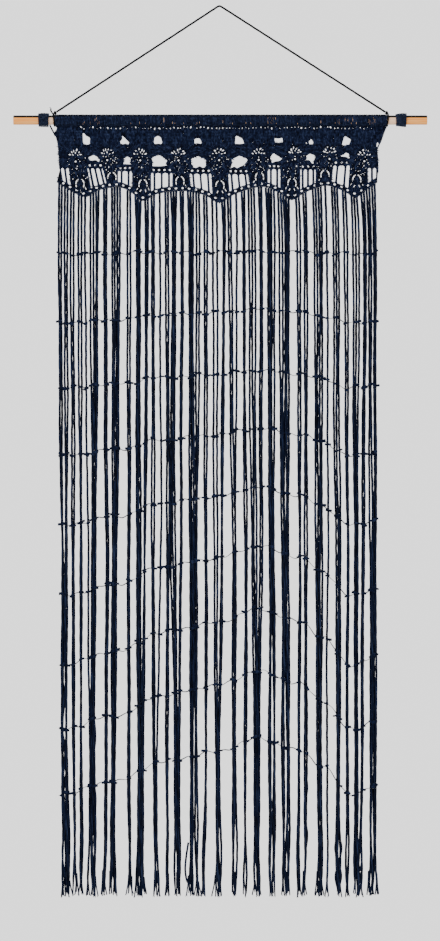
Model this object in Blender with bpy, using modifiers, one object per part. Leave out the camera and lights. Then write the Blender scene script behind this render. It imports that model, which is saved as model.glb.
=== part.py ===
"""A macrame door curtain on its wooden hanging rod.

A dowel hangs from a thin cord that runs up to one hanging point. A crocheted lace border holds the
dowel in its pocket, and a curtain of strings hangs from the border's lower chain. Nine thin threads
are tied across the strings, and two cuffs of yarn sit on the dowel beside the border.

The frame has its origin at the hanging point, +Z up, X along the dowel, and the front faces -Y.
Lengths below are in millimetres. A drop is measured down from the hanging point.
"""

import math
import random

import bmesh
import bpy

MM = 0.001
GAP = 0.3
COLLECTION = "macrame_door_curtain"

# The dowel
ROD_RADIUS = 12.0
ROD_DROP = 293.0
ROD_LEFT = -530.0
ROD_RIGHT = 534.0
ROD_SIDES = 32

# The hanging cord and its knots round the dowel
CORD_RADIUS = 1.9
CORD_STEP = 16.0
CORD_BEND = 8.0
LEFT_KNOT = -425.3
RIGHT_KNOT = 432.3
KNOT_LUMP = 4.2
LUMP_DROP = 274.6
LUMP_INWARD = 2.5
KNOT_TAIL = ((-3.0, 16.5), (-6.0, 20.5), (-8.5, 25.0), (-8.2, 29.5))

# The cuffs of yarn on the dowel
WRAP_RADIUS = 17.4
WRAP_TURNS = 5
WRAP_RIDGE = 1.0
WRAP_SIDES = 20
WRAPS = (("left_wrap", -465.9, -438.4), ("right_wrap", 453.0, 480.8))

# The tie from the left cuff to the border: x and drop of each point
TIE_RADIUS = 1.5
TIE_ROUTE = (
    (-436.6, 305.8), (-434.5, 309.5), (-432.0, 314.5), (-429.0, 320.5), (-426.2, 325.5),
    (-423.9, 330.0), (-422.3, 334.5),
)

# The lace border
LACE_THICKNESS = 3.0
POCKET_WALL = 1.4
POCKET_LEFT = -422.9
POCKET_RIGHT = 429.9

# The edges of the border from the pocket down on the left, and back up on the right: x, drop
LACE_LEFT = (
    (-422.5, 306.0), (-416, 315), (-423, 325), (-420, 335),
    (-416.5, 348), (-414, 365), (-412, 396), (-410.5, 420),
)
LACE_RIGHT = (
    (407.5, 428), (407, 399), (405.5, 369), (415, 347), (423, 324), (428.5, 311), (429.5, 306.0),
)

# The line of the lower chain: x and drop of each point where it turns
CHAIN = (
    (-418, 446), (-393, 462), (-348, 484), (-320, 470), (-290, 462), (-258, 459), (-228, 471),
    (-197, 494), (-166, 478), (-130, 471), (-90, 469), (-62, 473), (-32, 482), (-1, 499),
    (33, 480), (70, 466), (109, 458), (137, 465), (160, 477), (186, 492), (211, 477), (238, 465),
    (271, 455), (297, 460), (323, 471), (351, 485), (377, 465), (405, 447),
)
CHAIN_UP = 6.5
CHAIN_DOWN = 3.5
CHAIN_EYELET = 2.6
CHAIN_EYELET_PITCH = 17.0
BACKING_HEIGHT = 3.3
BACKING_THICKNESS = 5.4
ROOT_DEPTH = 2.3

# Holes of the upper row: x, drop, half width, half height, outline in halves
UPPER_HOLES = (
    (-342.5, 341.2, 9.4, 14.5, ((-1, -1), (-.55, -1), (0, -.5), (1, -.25), (1, 1), (-.9, 1))),
    (-244.0, 345.0, 11.7, 11.4,
     ((-.65, -1), (-.3, -.9), (1, .45), (.8, .95), (.1, .75), (-.65, 1), (-1, .3), (-.5, -.3))),
    (-158.1, 344.3, 10.7, 10.7,
     ((-.8, -.6), (0, -1), (.7, -.6), (1, .55), (.75, 1), (0, .85), (-.7, 1), (-1, .55))),
    (-55.5, 347.1, 9.4, 7.3, ((-1, -.6), (-.25, -1), (.5, -.9), (1, .4), (.8, 1), (0, .7), (-.9, .9))),
    (51.7, 344.0, 12.0, 10.3, ((-.85, -.9), (-.5, -1), (.55, -.35), (1, .9), (.1, 1), (-1, 1))),
    (152.7, 344.8, 10.7, 6.6, ((-1, -.9), (-.1, -.6), (.8, -1), (1, .8), (-.1, 1), (-1, .8))),
    (235.2, 348.1, 6.1, 7.0, ((.1, -1), (1, .3), (.7, 1), (-.7, 1), (-1, .1))),
    (223.2, 352.5, 2.8, 2.8, ((0, -1), (1, 0), (0, 1), (-1, 0))),
    (326.0, 345.5, 11.8, 12.2, ((-.4, -1), (1, -.2), (.55, 1), (-1, 1))),
    (405.8, 356.0, 3.2, 7.5, ((.3, -1), (1, -.1), (0, 1), (-1, .5), (-.4, -.5))),
)

# Holes of the large row, between the fans, in the same columns
LARGE_HOLES = (
    (-322.5, 392.4, 14.5, 9.4,
     ((-1, -.4), (-.05, -1), (.5, -.55), (1, .3), (.8, 1), (.25, .35), (-.4, .55), (-.8, .4))),
    (-237.2, 396.8, 11.7, 10.3,
     ((-.75, -.55), (-.05, -1), (.65, -.65), (.75, 0), (.55, .5), (1, 1), (0, .9), (-1, .9),
      (-.65, .25))),
    (-154.4, 398.2, 20.7, 15.8,
     ((-1, -.5), (-.4, -.8), (-.15, -1), (.35, -.7), (1, 0), (.75, .3), (.95, .75), (.1, .85),
      (-.9, .85), (-.8, .1))),
    (-53.2, 401.0, 19.3, 15.1,
     ((-1, -.55), (-.1, -1), (1, -.35), (.9, .2), (1, .75), (.5, 1), (.1, .65), (-.3, 1),
      (-.7, .9), (-.95, .3))),
    (50.6, 401.6, 23.1, 17.0,
     ((-.85, -.4), (0, -1), (.9, -.5), (.85, -.05), (.6, .2), (.7, .6), (.2, .55), (-.2, .9),
      (-.5, .65), (-1, 1), (-.75, .1))),
    (145.6, 390.5, 15.8, 13.1,
     ((-1, -.1), (-.4, -1), (.1, -.5), (1, .1), (.5, .6), (-.1, .65), (-.65, 1), (-.75, .45))),
    (232.7, 392.0, 13.9, 12.5,
     ((-.7, -.5), (-.05, -1), (.9, -.65), (1, -.1), (.6, .45), (.7, 1), (.3, 1), (-.1, .3),
      (-1, .45), (-.55, -.05))),
    (319.8, 384.1, 15.3, 8.3,
     ((-1, .4), (-.1, -.25), (.4, -1), (.8, -.5), (1, .6), (.7, 1), (.3, .4), (-.4, .4))),
)

# Each motif: x and drop of its fan of eyelets, x and drop of its bud
MOTIFS = (
    (-370.0, 377.6, -358.7, 457.6),
    (-288.7, 374.0, -276.4, 440.5),
    (-203.9, 374.8, -196.7, 459.0),
    (-105.4, 374.8, -101.6, 451.0),
    (-1.0, 374.0, 1.3, 462.0),
    (100.8, 373.3, 103.0, 440.5),
    (194.4, 371.5, 186.4, 456.0),
    (283.0, 370.7, 271.2, 435.0),
    (372.5, 376.8, 353.0, 447.0),
)
FAN_ROOT = 9.0
FAN_RADIUS = 16.0
FAN_ANGLES = (-65, -33, 0, 33, 65)
FAN_EYELET = (2.3, 4.8)
DOT_EYELETS = ((0.0, 22.0), (3.0, 40.0))
DOT_RADIUS = 2.6
BUD_REACH = 9.0
BUD_CRESCENT = (2.5, 7.5)

# The open arches between the buds: left, right, drop of the top, windows, eyelets above, lean
ARCHES = (
    (-408.0, -387.0, 417.0, 2, 0, 5.0),
    (-340.0, -299.0, 418.0, 4, 3, 9.0),
    (-261.5, -224.0, 425.0, 3, 3, 0.0),
    (-176.5, -120.5, 430.0, 4, 4, 0.0),
    (-77.5, -20.5, 432.0, 4, 4, 3.0),
    (22.0, 75.0, 433.0, 4, 4, 3.0),
    (123.5, 157.0, 420.0, 3, 3, 0.0),
    (207.0, 248.0, 421.0, 4, 3, 0.0),
    (292.0, 335.5, 411.0, 3, 3, -4.0),
    (381.0, 403.0, 417.0, 2, 0, 0.0),
)
ARCH_EYELET_RISE = 8.5
ARCH_EYELET = 2.7
BRIDGE_WIDTH = 4.2
# How an arch's open width is shared among its windows
WINDOW_SHARES = {2: (0.5, 0.5), 3: (0.27, 0.46, 0.27), 4: (0.17, 0.33, 0.33, 0.17)}

# The strings
STRING_RADIUS = 2.4
LAYER_DEPTH = 2.6
ROOT_SPACING = 7.0
LAYER_SPACING = 5.3
END_DROP = 2282.0
END_UNEVEN = 7.0
JOIN_DROP = 632.0
HIGH_DROP = 756.0
MIDDLE_DROP = 1373.0
LOW_DROP = 1939.0
WANDER = 1.2
# Least and most distance of neighbours in a bundle at the high, middle, low and end drops
SPREADS = ((3.2, 8.4), (2.2, 6.2), (2.0, 4.2), (2.6, 5.0))

# Bundles of strings: how many, and x at the high, middle, low and end drops
BUNDLES = (
    (2, -410, -404, -404, -398),
    (2, -395, -394, -393, -387),
    (2, -379, -376, -374, -372),
    (2, -359, -356, -356, -354),
    (1, -346, -338, -333, -336),
    (2, -328, -325, -330, -326),
    (2, -315, -320, -323, -320),
    (2, -294, -289, -292, -295),
    (1, -276, -275, -277, -281),
    (3, -263, -267, -271, -273),
    (2, -233, -233, -233, -229),
    (3, -209, -208, -206, -207),
    (2, -187, -192, -197, -199),
    (2, -171, -171, -168, -165),
    (1, -153, -150, -161, -158),
    (2, -135, -132, -135, -133),
    (3, -117, -120, -112, -110),
    (2, -96, -99, -105, -102),
    (3, -73, -71, -71, -73),
    (2, -55, -60, -60, -58),
    (2, -35, -35, -35, -42),
    (1, -17, -14, -9, -6),
    (1, -6, -6, -5, 1),
    (2, 12, 6, -1, -1),
    (2, 27, 37, 36, 36),
    (1, 45, 41, 41, 45),
    (2, 63, 68, 66, 66),
    (3, 84, 89, 93, 95),
    (2, 107, 107, 100, 101),
    (2, 127, 131, 129, 131),
    (2, 138, 138, 141, 139),
    (2, 158, 163, 163, 167),
    (3, 174, 172, 177, 174),
    (2, 204, 207, 204, 202),
    (2, 222, 222, 222, 219),
    (3, 251, 253, 256, 258),
    (1, 264, 264, 261, 263),
    (1, 276, 279, 276, 279),
    (3, 300, 305, 305, 306),
    (2, 325, 330, 328, 330),
    (3, 351, 351, 351, 353),
    (2, 374, 369, 366, 362),
    (2, 387, 390, 390, 388),
    (1, 397, 398, 398, 396),
    (1, 402, 402, 402, 402),
)

# The threads across the strings: drop at the highest point, and how far the left end hangs lower
ROW_THREADS = (
    (632, 5), (779, 36), (936, 46), (1085, 72), (1237, 98), (1388, 129), (1550, 144), (1710, 149),
    (1882, 144),
)

# Where a thread hangs low: x, and the share of its sag
THREAD_SAG = (
    (-414, 1.0), (-256, .75), (-153, .42), (-12, .25), (99, 0.0), (207, .22), (264, .5), (336, 1.0),
    (405, .85),
)
THREAD_RADIUS = 0.5
THREAD_STEPS = 14

# Colour, roughness and metallic value of each material
FINISHES = {
    "navy_lace": ((0.010, 0.017, 0.045), 0.92, 0.0),
    "navy_string": ((0.008, 0.013, 0.035), 0.92, 0.0),
    "navy_wrap": ((0.012, 0.020, 0.050), 0.92, 0.0),
    "navy_thread": ((0.012, 0.018, 0.045), 0.9, 0.0),
    "black_cord": ((0.012, 0.012, 0.013), 0.8, 0.0),
    "rod_wood": ((0.66, 0.38, 0.19), 0.5, 0.0),
}


def clear_scene():
    for obj in list(bpy.data.objects):
        bpy.data.objects.remove(obj, do_unlink=True)


def new_collection(name):
    collection = bpy.data.collections.new(name)
    bpy.context.scene.collection.children.link(collection)
    return collection


def material(name):
    found = bpy.data.materials.get(name)
    if found:
        return found
    colour, roughness, metallic = FINISHES[name]
    made = bpy.data.materials.new(name)
    made.use_nodes = True
    shader = made.node_tree.nodes["Principled BSDF"]
    shader.inputs["Base Color"].default_value = (*colour, 1.0)
    shader.inputs["Roughness"].default_value = roughness
    shader.inputs["Metallic"].default_value = metallic
    return made


def finish(obj, name, finish_name):
    obj.name = name
    obj.data.name = name
    obj.data.materials.clear()
    obj.data.materials.append(material(finish_name))
    return obj


def settle(obj):
    """Applies the object's place and scale to its mesh."""
    obj.data.transform(obj.matrix_basis)
    obj.matrix_basis.identity()
    return obj


def mesh_of_curve(curve_object):
    """The curve as a closed mesh, with its caps welded to its sides."""
    graph = bpy.context.evaluated_depsgraph_get()
    bpy.context.view_layer.update()
    mesh = bpy.data.meshes.new_from_object(curve_object.evaluated_get(graph))
    obj = bpy.data.objects.new(curve_object.name + "_mesh", mesh)
    parts.objects.link(obj)
    obj.matrix_world = curve_object.matrix_world
    bpy.data.objects.remove(curve_object, do_unlink=True)
    weld(obj.data)
    return settle(obj)


def weld(mesh):
    held = bmesh.new()
    held.from_mesh(mesh)
    bmesh.ops.remove_doubles(held, verts=held.verts, dist=0.00001)
    bmesh.ops.recalc_face_normals(held, faces=held.faces)
    held.to_mesh(mesh)
    held.free()


def tubes(name, routes, radius, resolution):
    """One mesh of tubes along routes of (x, y, drop), with flat caps."""
    curve = bpy.data.curves.new(name, "CURVE")
    curve.dimensions = "3D"
    curve.bevel_depth = radius * MM
    curve.bevel_resolution = resolution
    curve.use_fill_caps = True
    for route in routes:
        spline = curve.splines.new("POLY")
        spline.points.add(len(route) - 1)
        for point, (x, y, drop) in zip(spline.points, route):
            point.co = (x * MM, y * MM, -drop * MM, 1)
    obj = bpy.data.objects.new(name, curve)
    parts.objects.link(obj)
    return mesh_of_curve(obj)


def flat_sheet(name, outline, holes, thickness):
    """A sheet in the XZ plane, centred on Y, from loops of (x, drop)."""
    curve = bpy.data.curves.new(name, "CURVE")
    curve.dimensions = "2D"
    curve.fill_mode = "BOTH"
    curve.extrude = thickness / 2 * MM
    for loop in [outline] + holes:
        spline = curve.splines.new("POLY")
        spline.points.add(len(loop) - 1)
        for point, (x, drop) in zip(spline.points, loop):
            point.co = (x * MM, -drop * MM, 0, 1)
        spline.use_cyclic_u = True
    obj = bpy.data.objects.new(name, curve)
    obj.rotation_euler.x = math.radians(90)
    parts.objects.link(obj)
    return mesh_of_curve(obj)


def cylinder_on_rod(name, radius, left, right):
    bpy.ops.mesh.primitive_cylinder_add(
        vertices=ROD_SIDES,
        radius=radius * MM,
        depth=(right - left) * MM,
        location=((left + right) / 2 * MM, 0, -ROD_DROP * MM),
        rotation=(0, math.radians(90), 0),
    )
    obj = bpy.context.object
    obj.name = name
    return settle(obj)


def join_or_cut(obj, other, operation, solver="EXACT"):
    """Leaves obj united with the other mesh, or cut by it."""
    modifier = obj.modifiers.new(operation.lower(), "BOOLEAN")
    modifier.operation = operation
    modifier.solver = solver
    modifier.object = other
    graph = bpy.context.evaluated_depsgraph_get()
    mesh = bpy.data.meshes.new_from_object(obj.evaluated_get(graph))
    obj.modifiers.clear()
    obj.data = mesh
    bpy.data.objects.remove(other, do_unlink=True)
    return obj


def into_parts(obj):
    for collection in list(obj.users_collection):
        collection.objects.unlink(obj)
    parts.objects.link(obj)
    return obj


def smooth_read(rows, x):
    """The value at x of a short table of (x, value), eased between its rows."""
    if x <= rows[0][0]:
        return rows[0][1]
    for (x0, v0), (x1, v1) in zip(rows, rows[1:]):
        if x <= x1:
            share = 0.5 - 0.5 * math.cos(math.pi * (x - x0) / (x1 - x0))
            return v0 + (v1 - v0) * share
    return rows[-1][1]


def chain_line(offset):
    """Points along the lower chain, offset downward."""
    return [(x, drop + offset) for x, drop in CHAIN]


def chain_drop(x):
    """Drop of the lower chain at x."""
    for (x0, drop0), (x1, drop1) in zip(CHAIN, CHAIN[1:]):
        if x <= x1:
            return drop0 + (drop1 - drop0) * (x - x0) / (x1 - x0)
    return CHAIN[-1][1]


def diamond(x, drop, half_width, half_height, turn=0.0):
    """Four corners, turned by an angle in degrees from upright."""
    across = math.cos(math.radians(turn))
    along = math.sin(math.radians(turn))
    corners = ((0, -half_height), (half_width, 0), (0, half_height), (-half_width, 0))
    return [(x + u * across - v * along, drop + u * along + v * across) for u, v in corners]


def shaped_hole(row):
    x, drop, half_width, half_height, outline = row
    return [(x + u * half_width, drop + v * half_height) for u, v in outline]


def fan_holes(x, drop):
    holes = []
    for angle in FAN_ANGLES:
        away = math.radians(angle)
        at_x = x + FAN_RADIUS * math.sin(away)
        at_drop = drop + FAN_ROOT - FAN_RADIUS * math.cos(away)
        holes.append(diamond(at_x, at_drop, *FAN_EYELET, turn=angle))
    for dx, down in DOT_EYELETS:
        holes.append(diamond(x + dx, drop + down, DOT_RADIUS, DOT_RADIUS))
    return holes


def bud_holes(x, drop):
    """Two crescents, one on each side of a bud."""
    half_width, half_height = BUD_CRESCENT
    holes = []
    for side in (-1, 1):
        outline = (
            (0, -half_height),
            (half_width, -half_height * 0.4),
            (half_width, half_height * 0.4),
            (0, half_height),
            (-half_width * 0.6, 0),
        )
        holes.append([(x + side * (BUD_REACH + u), drop + v) for u, v in outline])
    return holes


def arch_windows(left, right, windows):
    """The sides of an arch's windows, the outer ones narrower."""
    open_width = right - left - BRIDGE_WIDTH * (windows - 1)
    sides = []
    x = left
    for share in WINDOW_SHARES[windows]:
        sides.append((x, x + share * open_width))
        x += share * open_width + BRIDGE_WIDTH
    return sides


def arch_holes(left, right, top, windows, eyelets, lean):
    """The windows between the bridges of an arch, and the eyelets above them."""
    holes = []
    for x0, x1 in arch_windows(left, right, windows):
        bottom0 = chain_drop(x0 + lean) - CHAIN_UP
        bottom1 = chain_drop(x1 + lean) - CHAIN_UP
        holes.append([(x0, top), (x1, top), (x1 + lean, bottom1), (x0 + lean, bottom0)])
    for i in range(eyelets):
        x = left + (right - left) * (i + 0.5) / eyelets
        holes.append(diamond(x, top - ARCH_EYELET_RISE, ARCH_EYELET, ARCH_EYELET))
    return holes


def chain_holes():
    """The eyelets along the lower chain."""
    left = CHAIN[0][0] + CHAIN_EYELET_PITCH
    count = int((CHAIN[-1][0] - left) / CHAIN_EYELET_PITCH)
    middle = (CHAIN_DOWN - CHAIN_UP) / 2
    xs = [left + i * CHAIN_EYELET_PITCH for i in range(count)]
    return [diamond(x, chain_drop(x) + middle, CHAIN_EYELET, CHAIN_EYELET) for x in xs]


def build_rod():
    rod = into_parts(cylinder_on_rod("rod", ROD_RADIUS, ROD_LEFT, ROD_RIGHT))
    rod.data.shade_smooth()
    rod.data.set_sharp_from_angle(angle=math.radians(40))
    return finish(rod, "rod", "rod_wood")


def build_header():
    outline = list(LACE_LEFT) + chain_line(CHAIN_DOWN) + list(LACE_RIGHT)
    holes = [shaped_hole(row) for row in UPPER_HOLES + LARGE_HOLES]
    for fan_x, fan_drop, bud_x, bud_drop in MOTIFS:
        holes += fan_holes(fan_x, fan_drop) + bud_holes(bud_x, bud_drop)
    for arch in ARCHES:
        holes += arch_holes(*arch)
    holes += chain_holes()
    lace = flat_sheet("lace", outline, holes, LACE_THICKNESS)
    pocket = cylinder_on_rod("pocket", ROD_RADIUS + GAP + POCKET_WALL, POCKET_LEFT, POCKET_RIGHT)
    bore = cylinder_on_rod("bore", ROD_RADIUS + GAP, POCKET_LEFT - 10, POCKET_RIGHT + 10)
    join_or_cut(pocket, bore, "DIFFERENCE")
    return finish(join_or_cut(lace, pocket, "UNION", "MANIFOLD"), "header", "navy_lace")


def keep_apart(places, least, step=1):
    """Pushes neighbours, or those step apart, until they are at least so far from each other."""
    places = list(places)
    for _ in range(400):
        for i in range(len(places) - step):
            short = least - (places[i + step] - places[i])
            if short > 0:
                places[i] -= short / 2
                places[i + step] += short / 2
    return places


def string_places(column, spacings):
    """x of every string where its bundles lie at the given column."""
    places = []
    for row, spacing in zip(BUNDLES, spacings):
        count = row[0]
        places += [row[column] + (i - (count - 1) / 2) * spacing for i in range(count)]
    return keep_apart(keep_apart(places, LAYER_SPACING, 2), 1.2)


def string_routes():
    """The route of every string, from its root in the chain to its end."""
    chance = random.Random(5)
    roots = keep_apart(string_places(1, [ROOT_SPACING] * len(BUNDLES)), ROOT_SPACING)
    narrow = (CHAIN[-1][0] - CHAIN[0][0] - 12) / (roots[-1] - roots[0])
    if narrow < 1:
        roots = [CHAIN[0][0] + 6 + (x - roots[0]) * narrow for x in roots]
    spreads = [[chance.uniform(*limits) for _ in BUNDLES] for limits in SPREADS]
    high, middle, low, end = (string_places(n, spread) for n, spread in enumerate(spreads, 1))
    sway = [chance.uniform(-WANDER, WANDER) for _ in BUNDLES]
    sways = [value for value, row in zip(sway, BUNDLES) for _ in range(row[0])]
    routes = []
    for i, root in enumerate(roots):
        y = LAYER_DEPTH * (1 if i % 2 else -1)
        upper = (high[i] + middle[i]) / 2 + sways[i]
        lower = (middle[i] + low[i]) / 2 - sways[i]
        end_drop = END_DROP - chance.uniform(0, END_UNEVEN)
        root_drop = chain_drop(root) + CHAIN_DOWN + GAP + ROOT_DEPTH
        routes.append([
            (root, 0.0, root_drop),
            (high[i], y, JOIN_DROP),
            (upper, y, (HIGH_DROP + MIDDLE_DROP) / 2),
            (middle[i], y, MIDDLE_DROP),
            (lower, y, (MIDDLE_DROP + LOW_DROP) / 2),
            (low[i], y, LOW_DROP),
            (end[i], y, end_drop),
        ])
    return routes


def build_string_curtain():
    top = CHAIN_DOWN + GAP
    outline = chain_line(top) + list(reversed(chain_line(top + BACKING_HEIGHT)))
    backing = flat_sheet("backing", outline, [], BACKING_THICKNESS)
    strings = tubes("strings", string_routes(), STRING_RADIUS, 0)
    return finish(join_or_cut(backing, strings, "UNION"), "string_curtain", "navy_string")


def build_row_threads():
    y = -(LAYER_DEPTH + STRING_RADIUS + GAP + THREAD_RADIUS)
    left, right = BUNDLES[0][1] - 3, BUNDLES[-1][1] + 3
    for number, (highest, sag) in enumerate(ROW_THREADS, 1):
        xs = [left + (right - left) * i / THREAD_STEPS for i in range(THREAD_STEPS + 1)]
        route = [(x, y, highest + sag * smooth_read(THREAD_SAG, x)) for x in xs]
        thread = tubes("thread", [route], THREAD_RADIUS, 0)
        finish(thread, f"row_thread_{number}", "navy_thread")


def build_wrap(name, left, right):
    """A cuff of yarn wound round the dowel: its ridged section, turned about the dowel's axis."""
    inner = ROD_RADIUS + GAP
    pitch = (right - left) / WRAP_TURNS
    section = [(left, inner), (left, WRAP_RADIUS - 1.5 * WRAP_RIDGE)]
    for i in range(WRAP_TURNS):
        section.append((left + (i + 0.5) * pitch, WRAP_RADIUS))
        if i < WRAP_TURNS - 1:
            section.append((left + (i + 1) * pitch, WRAP_RADIUS - WRAP_RIDGE))
    section += [(right, WRAP_RADIUS - 1.5 * WRAP_RIDGE), (right, inner)]
    edges = [(i, (i + 1) % len(section)) for i in range(len(section))]
    mesh = bpy.data.meshes.new(name)
    mesh.from_pydata([(x * MM, 0, r * MM) for x, r in section], edges, [])
    obj = bpy.data.objects.new(name, mesh)
    parts.objects.link(obj)
    screw = obj.modifiers.new("turn", "SCREW")
    screw.axis = "X"
    screw.angle = math.radians(360)
    screw.steps = WRAP_SIDES
    screw.render_steps = WRAP_SIDES
    screw.use_merge_vertices = True
    screw.merge_threshold = 0.00001
    graph = bpy.context.evaluated_depsgraph_get()
    obj.data = bpy.data.meshes.new_from_object(obj.evaluated_get(graph))
    obj.modifiers.clear()
    weld(obj.data)
    obj.location.z = -ROD_DROP * MM
    obj.data.shade_smooth()
    return finish(settle(obj), name, "navy_wrap")


def build_knot(name, x, lump_x, tail):
    """The cord's turn round the dowel, with the knot on top and its short tail."""
    bpy.ops.mesh.primitive_torus_add(
        major_radius=(ROD_RADIUS + GAP + 0.2 + CORD_RADIUS) * MM,
        minor_radius=CORD_RADIUS * MM,
        major_segments=24,
        minor_segments=6,
        location=(x * MM, 0, -ROD_DROP * MM),
        rotation=(0, math.radians(90), 0),
    )
    ring = into_parts(settle(bpy.context.object))
    bpy.ops.mesh.primitive_uv_sphere_add(
        segments=10,
        ring_count=6,
        radius=KNOT_LUMP * MM,
        location=(lump_x * MM, 0, -LUMP_DROP * MM),
    )
    join_or_cut(ring, settle(bpy.context.object), "UNION")
    if tail:
        route = [(lump_x, 0, LUMP_DROP)] + [(x + dx, 0, ROD_DROP - up) for dx, up in tail]
        join_or_cut(ring, tubes("tail", [route], CORD_RADIUS, 1), "UNION")
    ring.data.shade_smooth()
    return finish(ring, name, "black_cord")


def leg_points(lump_x, top):
    """Points up a leg of the cord, from beside the knot at lump_x to the last one below top."""
    far = math.dist((lump_x, LUMP_DROP), top)
    bare = far - KNOT_LUMP - GAP
    count = round(bare / CORD_STEP)
    shares = [1 - bare / far * (1 - i / count) for i in range(count)]
    return [(lump_x + (top[0] - lump_x) * k, LUMP_DROP + (top[1] - LUMP_DROP) * k) for k in shares]


def build_hanging_cord(left_lump, right_lump):
    """The taut cord from the left knot, over the hanging point, to the right knot."""
    tilt = math.atan2(LUMP_DROP - CORD_BEND, -left_lump)
    turns = [tilt * (i / 3 - 1) for i in range(7)]
    bend = [(CORD_BEND * math.sin(a), CORD_BEND * (1 - math.cos(a))) for a in turns]
    route = leg_points(left_lump, bend[0]) + bend
    route += reversed(leg_points(right_lump, bend[-1]))
    cord = tubes("cord", [[(x, 0, drop) for x, drop in route]], CORD_RADIUS, 2)
    cord.data.shade_smooth()
    return finish(cord, "hanging_cord", "black_cord")


def build_left_tie():
    tie = tubes("tie", [[(x, 0, drop) for x, drop in TIE_ROUTE]], TIE_RADIUS, 2)
    tie.data.shade_smooth()
    return finish(tie, "left_tie", "navy_wrap")


def main():
    build_rod()
    build_header()
    build_string_curtain()
    build_row_threads()
    for name, left, right in WRAPS:
        build_wrap(name, left, right)
    left_lump = LEFT_KNOT + LUMP_INWARD
    right_lump = RIGHT_KNOT - LUMP_INWARD
    build_knot("left_knot", LEFT_KNOT, left_lump, KNOT_TAIL)
    build_knot("right_knot", RIGHT_KNOT, right_lump, None)
    build_hanging_cord(left_lump, right_lump)
    build_left_tie()


clear_scene()
parts = new_collection(COLLECTION)
main()
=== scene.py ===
"""Looks of the macrame door curtain on its wooden hanging rod.

Lengths in the tables are millimetres. A drop is measured down from the hanging point, x runs along
the rod, and the front faces -Y. The tables of strings, holes and threads are those of the solids.
"""

import math
import random

import bpy
import numpy as np
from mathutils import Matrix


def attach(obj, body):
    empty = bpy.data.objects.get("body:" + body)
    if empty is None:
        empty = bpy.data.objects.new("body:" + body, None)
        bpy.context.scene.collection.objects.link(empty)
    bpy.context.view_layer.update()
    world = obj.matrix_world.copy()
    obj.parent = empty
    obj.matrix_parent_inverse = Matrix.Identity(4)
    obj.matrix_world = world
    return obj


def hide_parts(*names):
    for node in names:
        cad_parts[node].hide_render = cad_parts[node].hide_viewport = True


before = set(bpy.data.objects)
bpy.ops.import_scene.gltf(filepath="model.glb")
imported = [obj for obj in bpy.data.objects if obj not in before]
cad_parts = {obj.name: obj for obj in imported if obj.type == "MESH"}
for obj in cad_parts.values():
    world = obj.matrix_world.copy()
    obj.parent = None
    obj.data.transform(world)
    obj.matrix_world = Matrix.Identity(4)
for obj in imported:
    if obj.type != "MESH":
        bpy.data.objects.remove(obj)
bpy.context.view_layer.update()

MM = 0.001
ROD_RADIUS = 12.0
ROD_DROP = 293.0
ROD_LEFT = -530.0
ROD_RIGHT = 534.0
# The eased edge of the rod's ends
ROD_EASE = 1.2
ROD_NICK = 0.4
# Heights above the rod's middle where the painted shade along its top begins and where it is full
ROD_TOP_SHADE = (4.9, 6.3)
# Metres from the rod's middle where the painted light on the wood between the cuffs begins and where it is
# full
PAINTED_LIGHT_SPAN = (0.470, 0.452)

CORD_RADIUS = 1.9
# The same cord with the soft fibres about it
CORD_YARN = 2.7
CORD_PLIES = {"sides": 7, "lobes": 3, "lobe": 0.05, "twist": 0.42}
CORD_STEP = 16.0
CORD_BEND = 8.0
LEFT_KNOT = -425.3
RIGHT_KNOT = 432.3
KNOT_LUMP = 4.2
LUMP_DROP = 274.6
LUMP_INWARD = 2.5
# The knot's ring round the rod, the amplitudes of the lump's tied loop, and the radii of their yarn
KNOT_RING = 15.0
KNOT_LOOP = (0.9, 1.8, 1.02)
RING_YARN = 2.5
LOOP_YARN = 2.2
TAIL_YARN = 2.1
KNOT_TAIL = ((-3.0, 16.5), (-6.0, 20.5), (-8.5, 25.0), (-8.2, 29.5))
TIE_RADIUS = 1.5
TIE_YARN = 2.2
TIE_ROUTE = (
    (-436.6, 305.8), (-434.5, 309.5), (-432.0, 314.5), (-429.0, 320.5), (-426.2, 325.5),
    (-423.9, 330.0), (-422.3, 334.5),
)

# Cuffs: piece, node, left end, right end, outer radii from left to right
CUFFS = (
    ("left_cuff", "left_wrap", -466.7, -437.6, (17.0, 18.3, 18.6, 18.5, 18.2)),
    ("right_cuff", "right_wrap", 452.2, 481.6, (16.0, 16.8, 17.9, 18.5, 18.0)),
)
CUFF_YARN = 1.55

POCKET_LEFT = -422.9
POCKET_RIGHT = 429.9
POCKET_RADIUS = 13.7
POST_PITCH = 3.15
POST_RADIUS = 1.48
POST_INSET = 1.4
SLEEVE_RADIUS = 12.9
SEAM_DROP = 306.8
LACE_LEFT = (
    (-422.5, 306.0), (-416, 315), (-423, 325), (-420, 335),
    (-416.5, 348), (-414, 365), (-412, 396), (-410.5, 420),
)
LACE_RIGHT = (
    (407.5, 428), (407, 399), (405.5, 369), (415, 347), (423, 324), (428.5, 311), (429.5, 306.0),
)
CHAIN = (
    (-418, 446), (-393, 462), (-348, 484), (-320, 470), (-290, 462), (-258, 459), (-228, 471),
    (-197, 494), (-166, 478), (-130, 471), (-90, 469), (-62, 473), (-32, 482), (-1, 499),
    (33, 480), (70, 466), (109, 458), (137, 465), (160, 477), (186, 492), (211, 477), (238, 465),
    (271, 455), (297, 460), (323, 471), (351, 485), (377, 465), (405, 447),
)
CHAIN_UP = 6.5
CHAIN_DOWN = 3.5
CHAIN_EYELET = 2.6
CHAIN_EYELET_PITCH = 17.0

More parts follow.
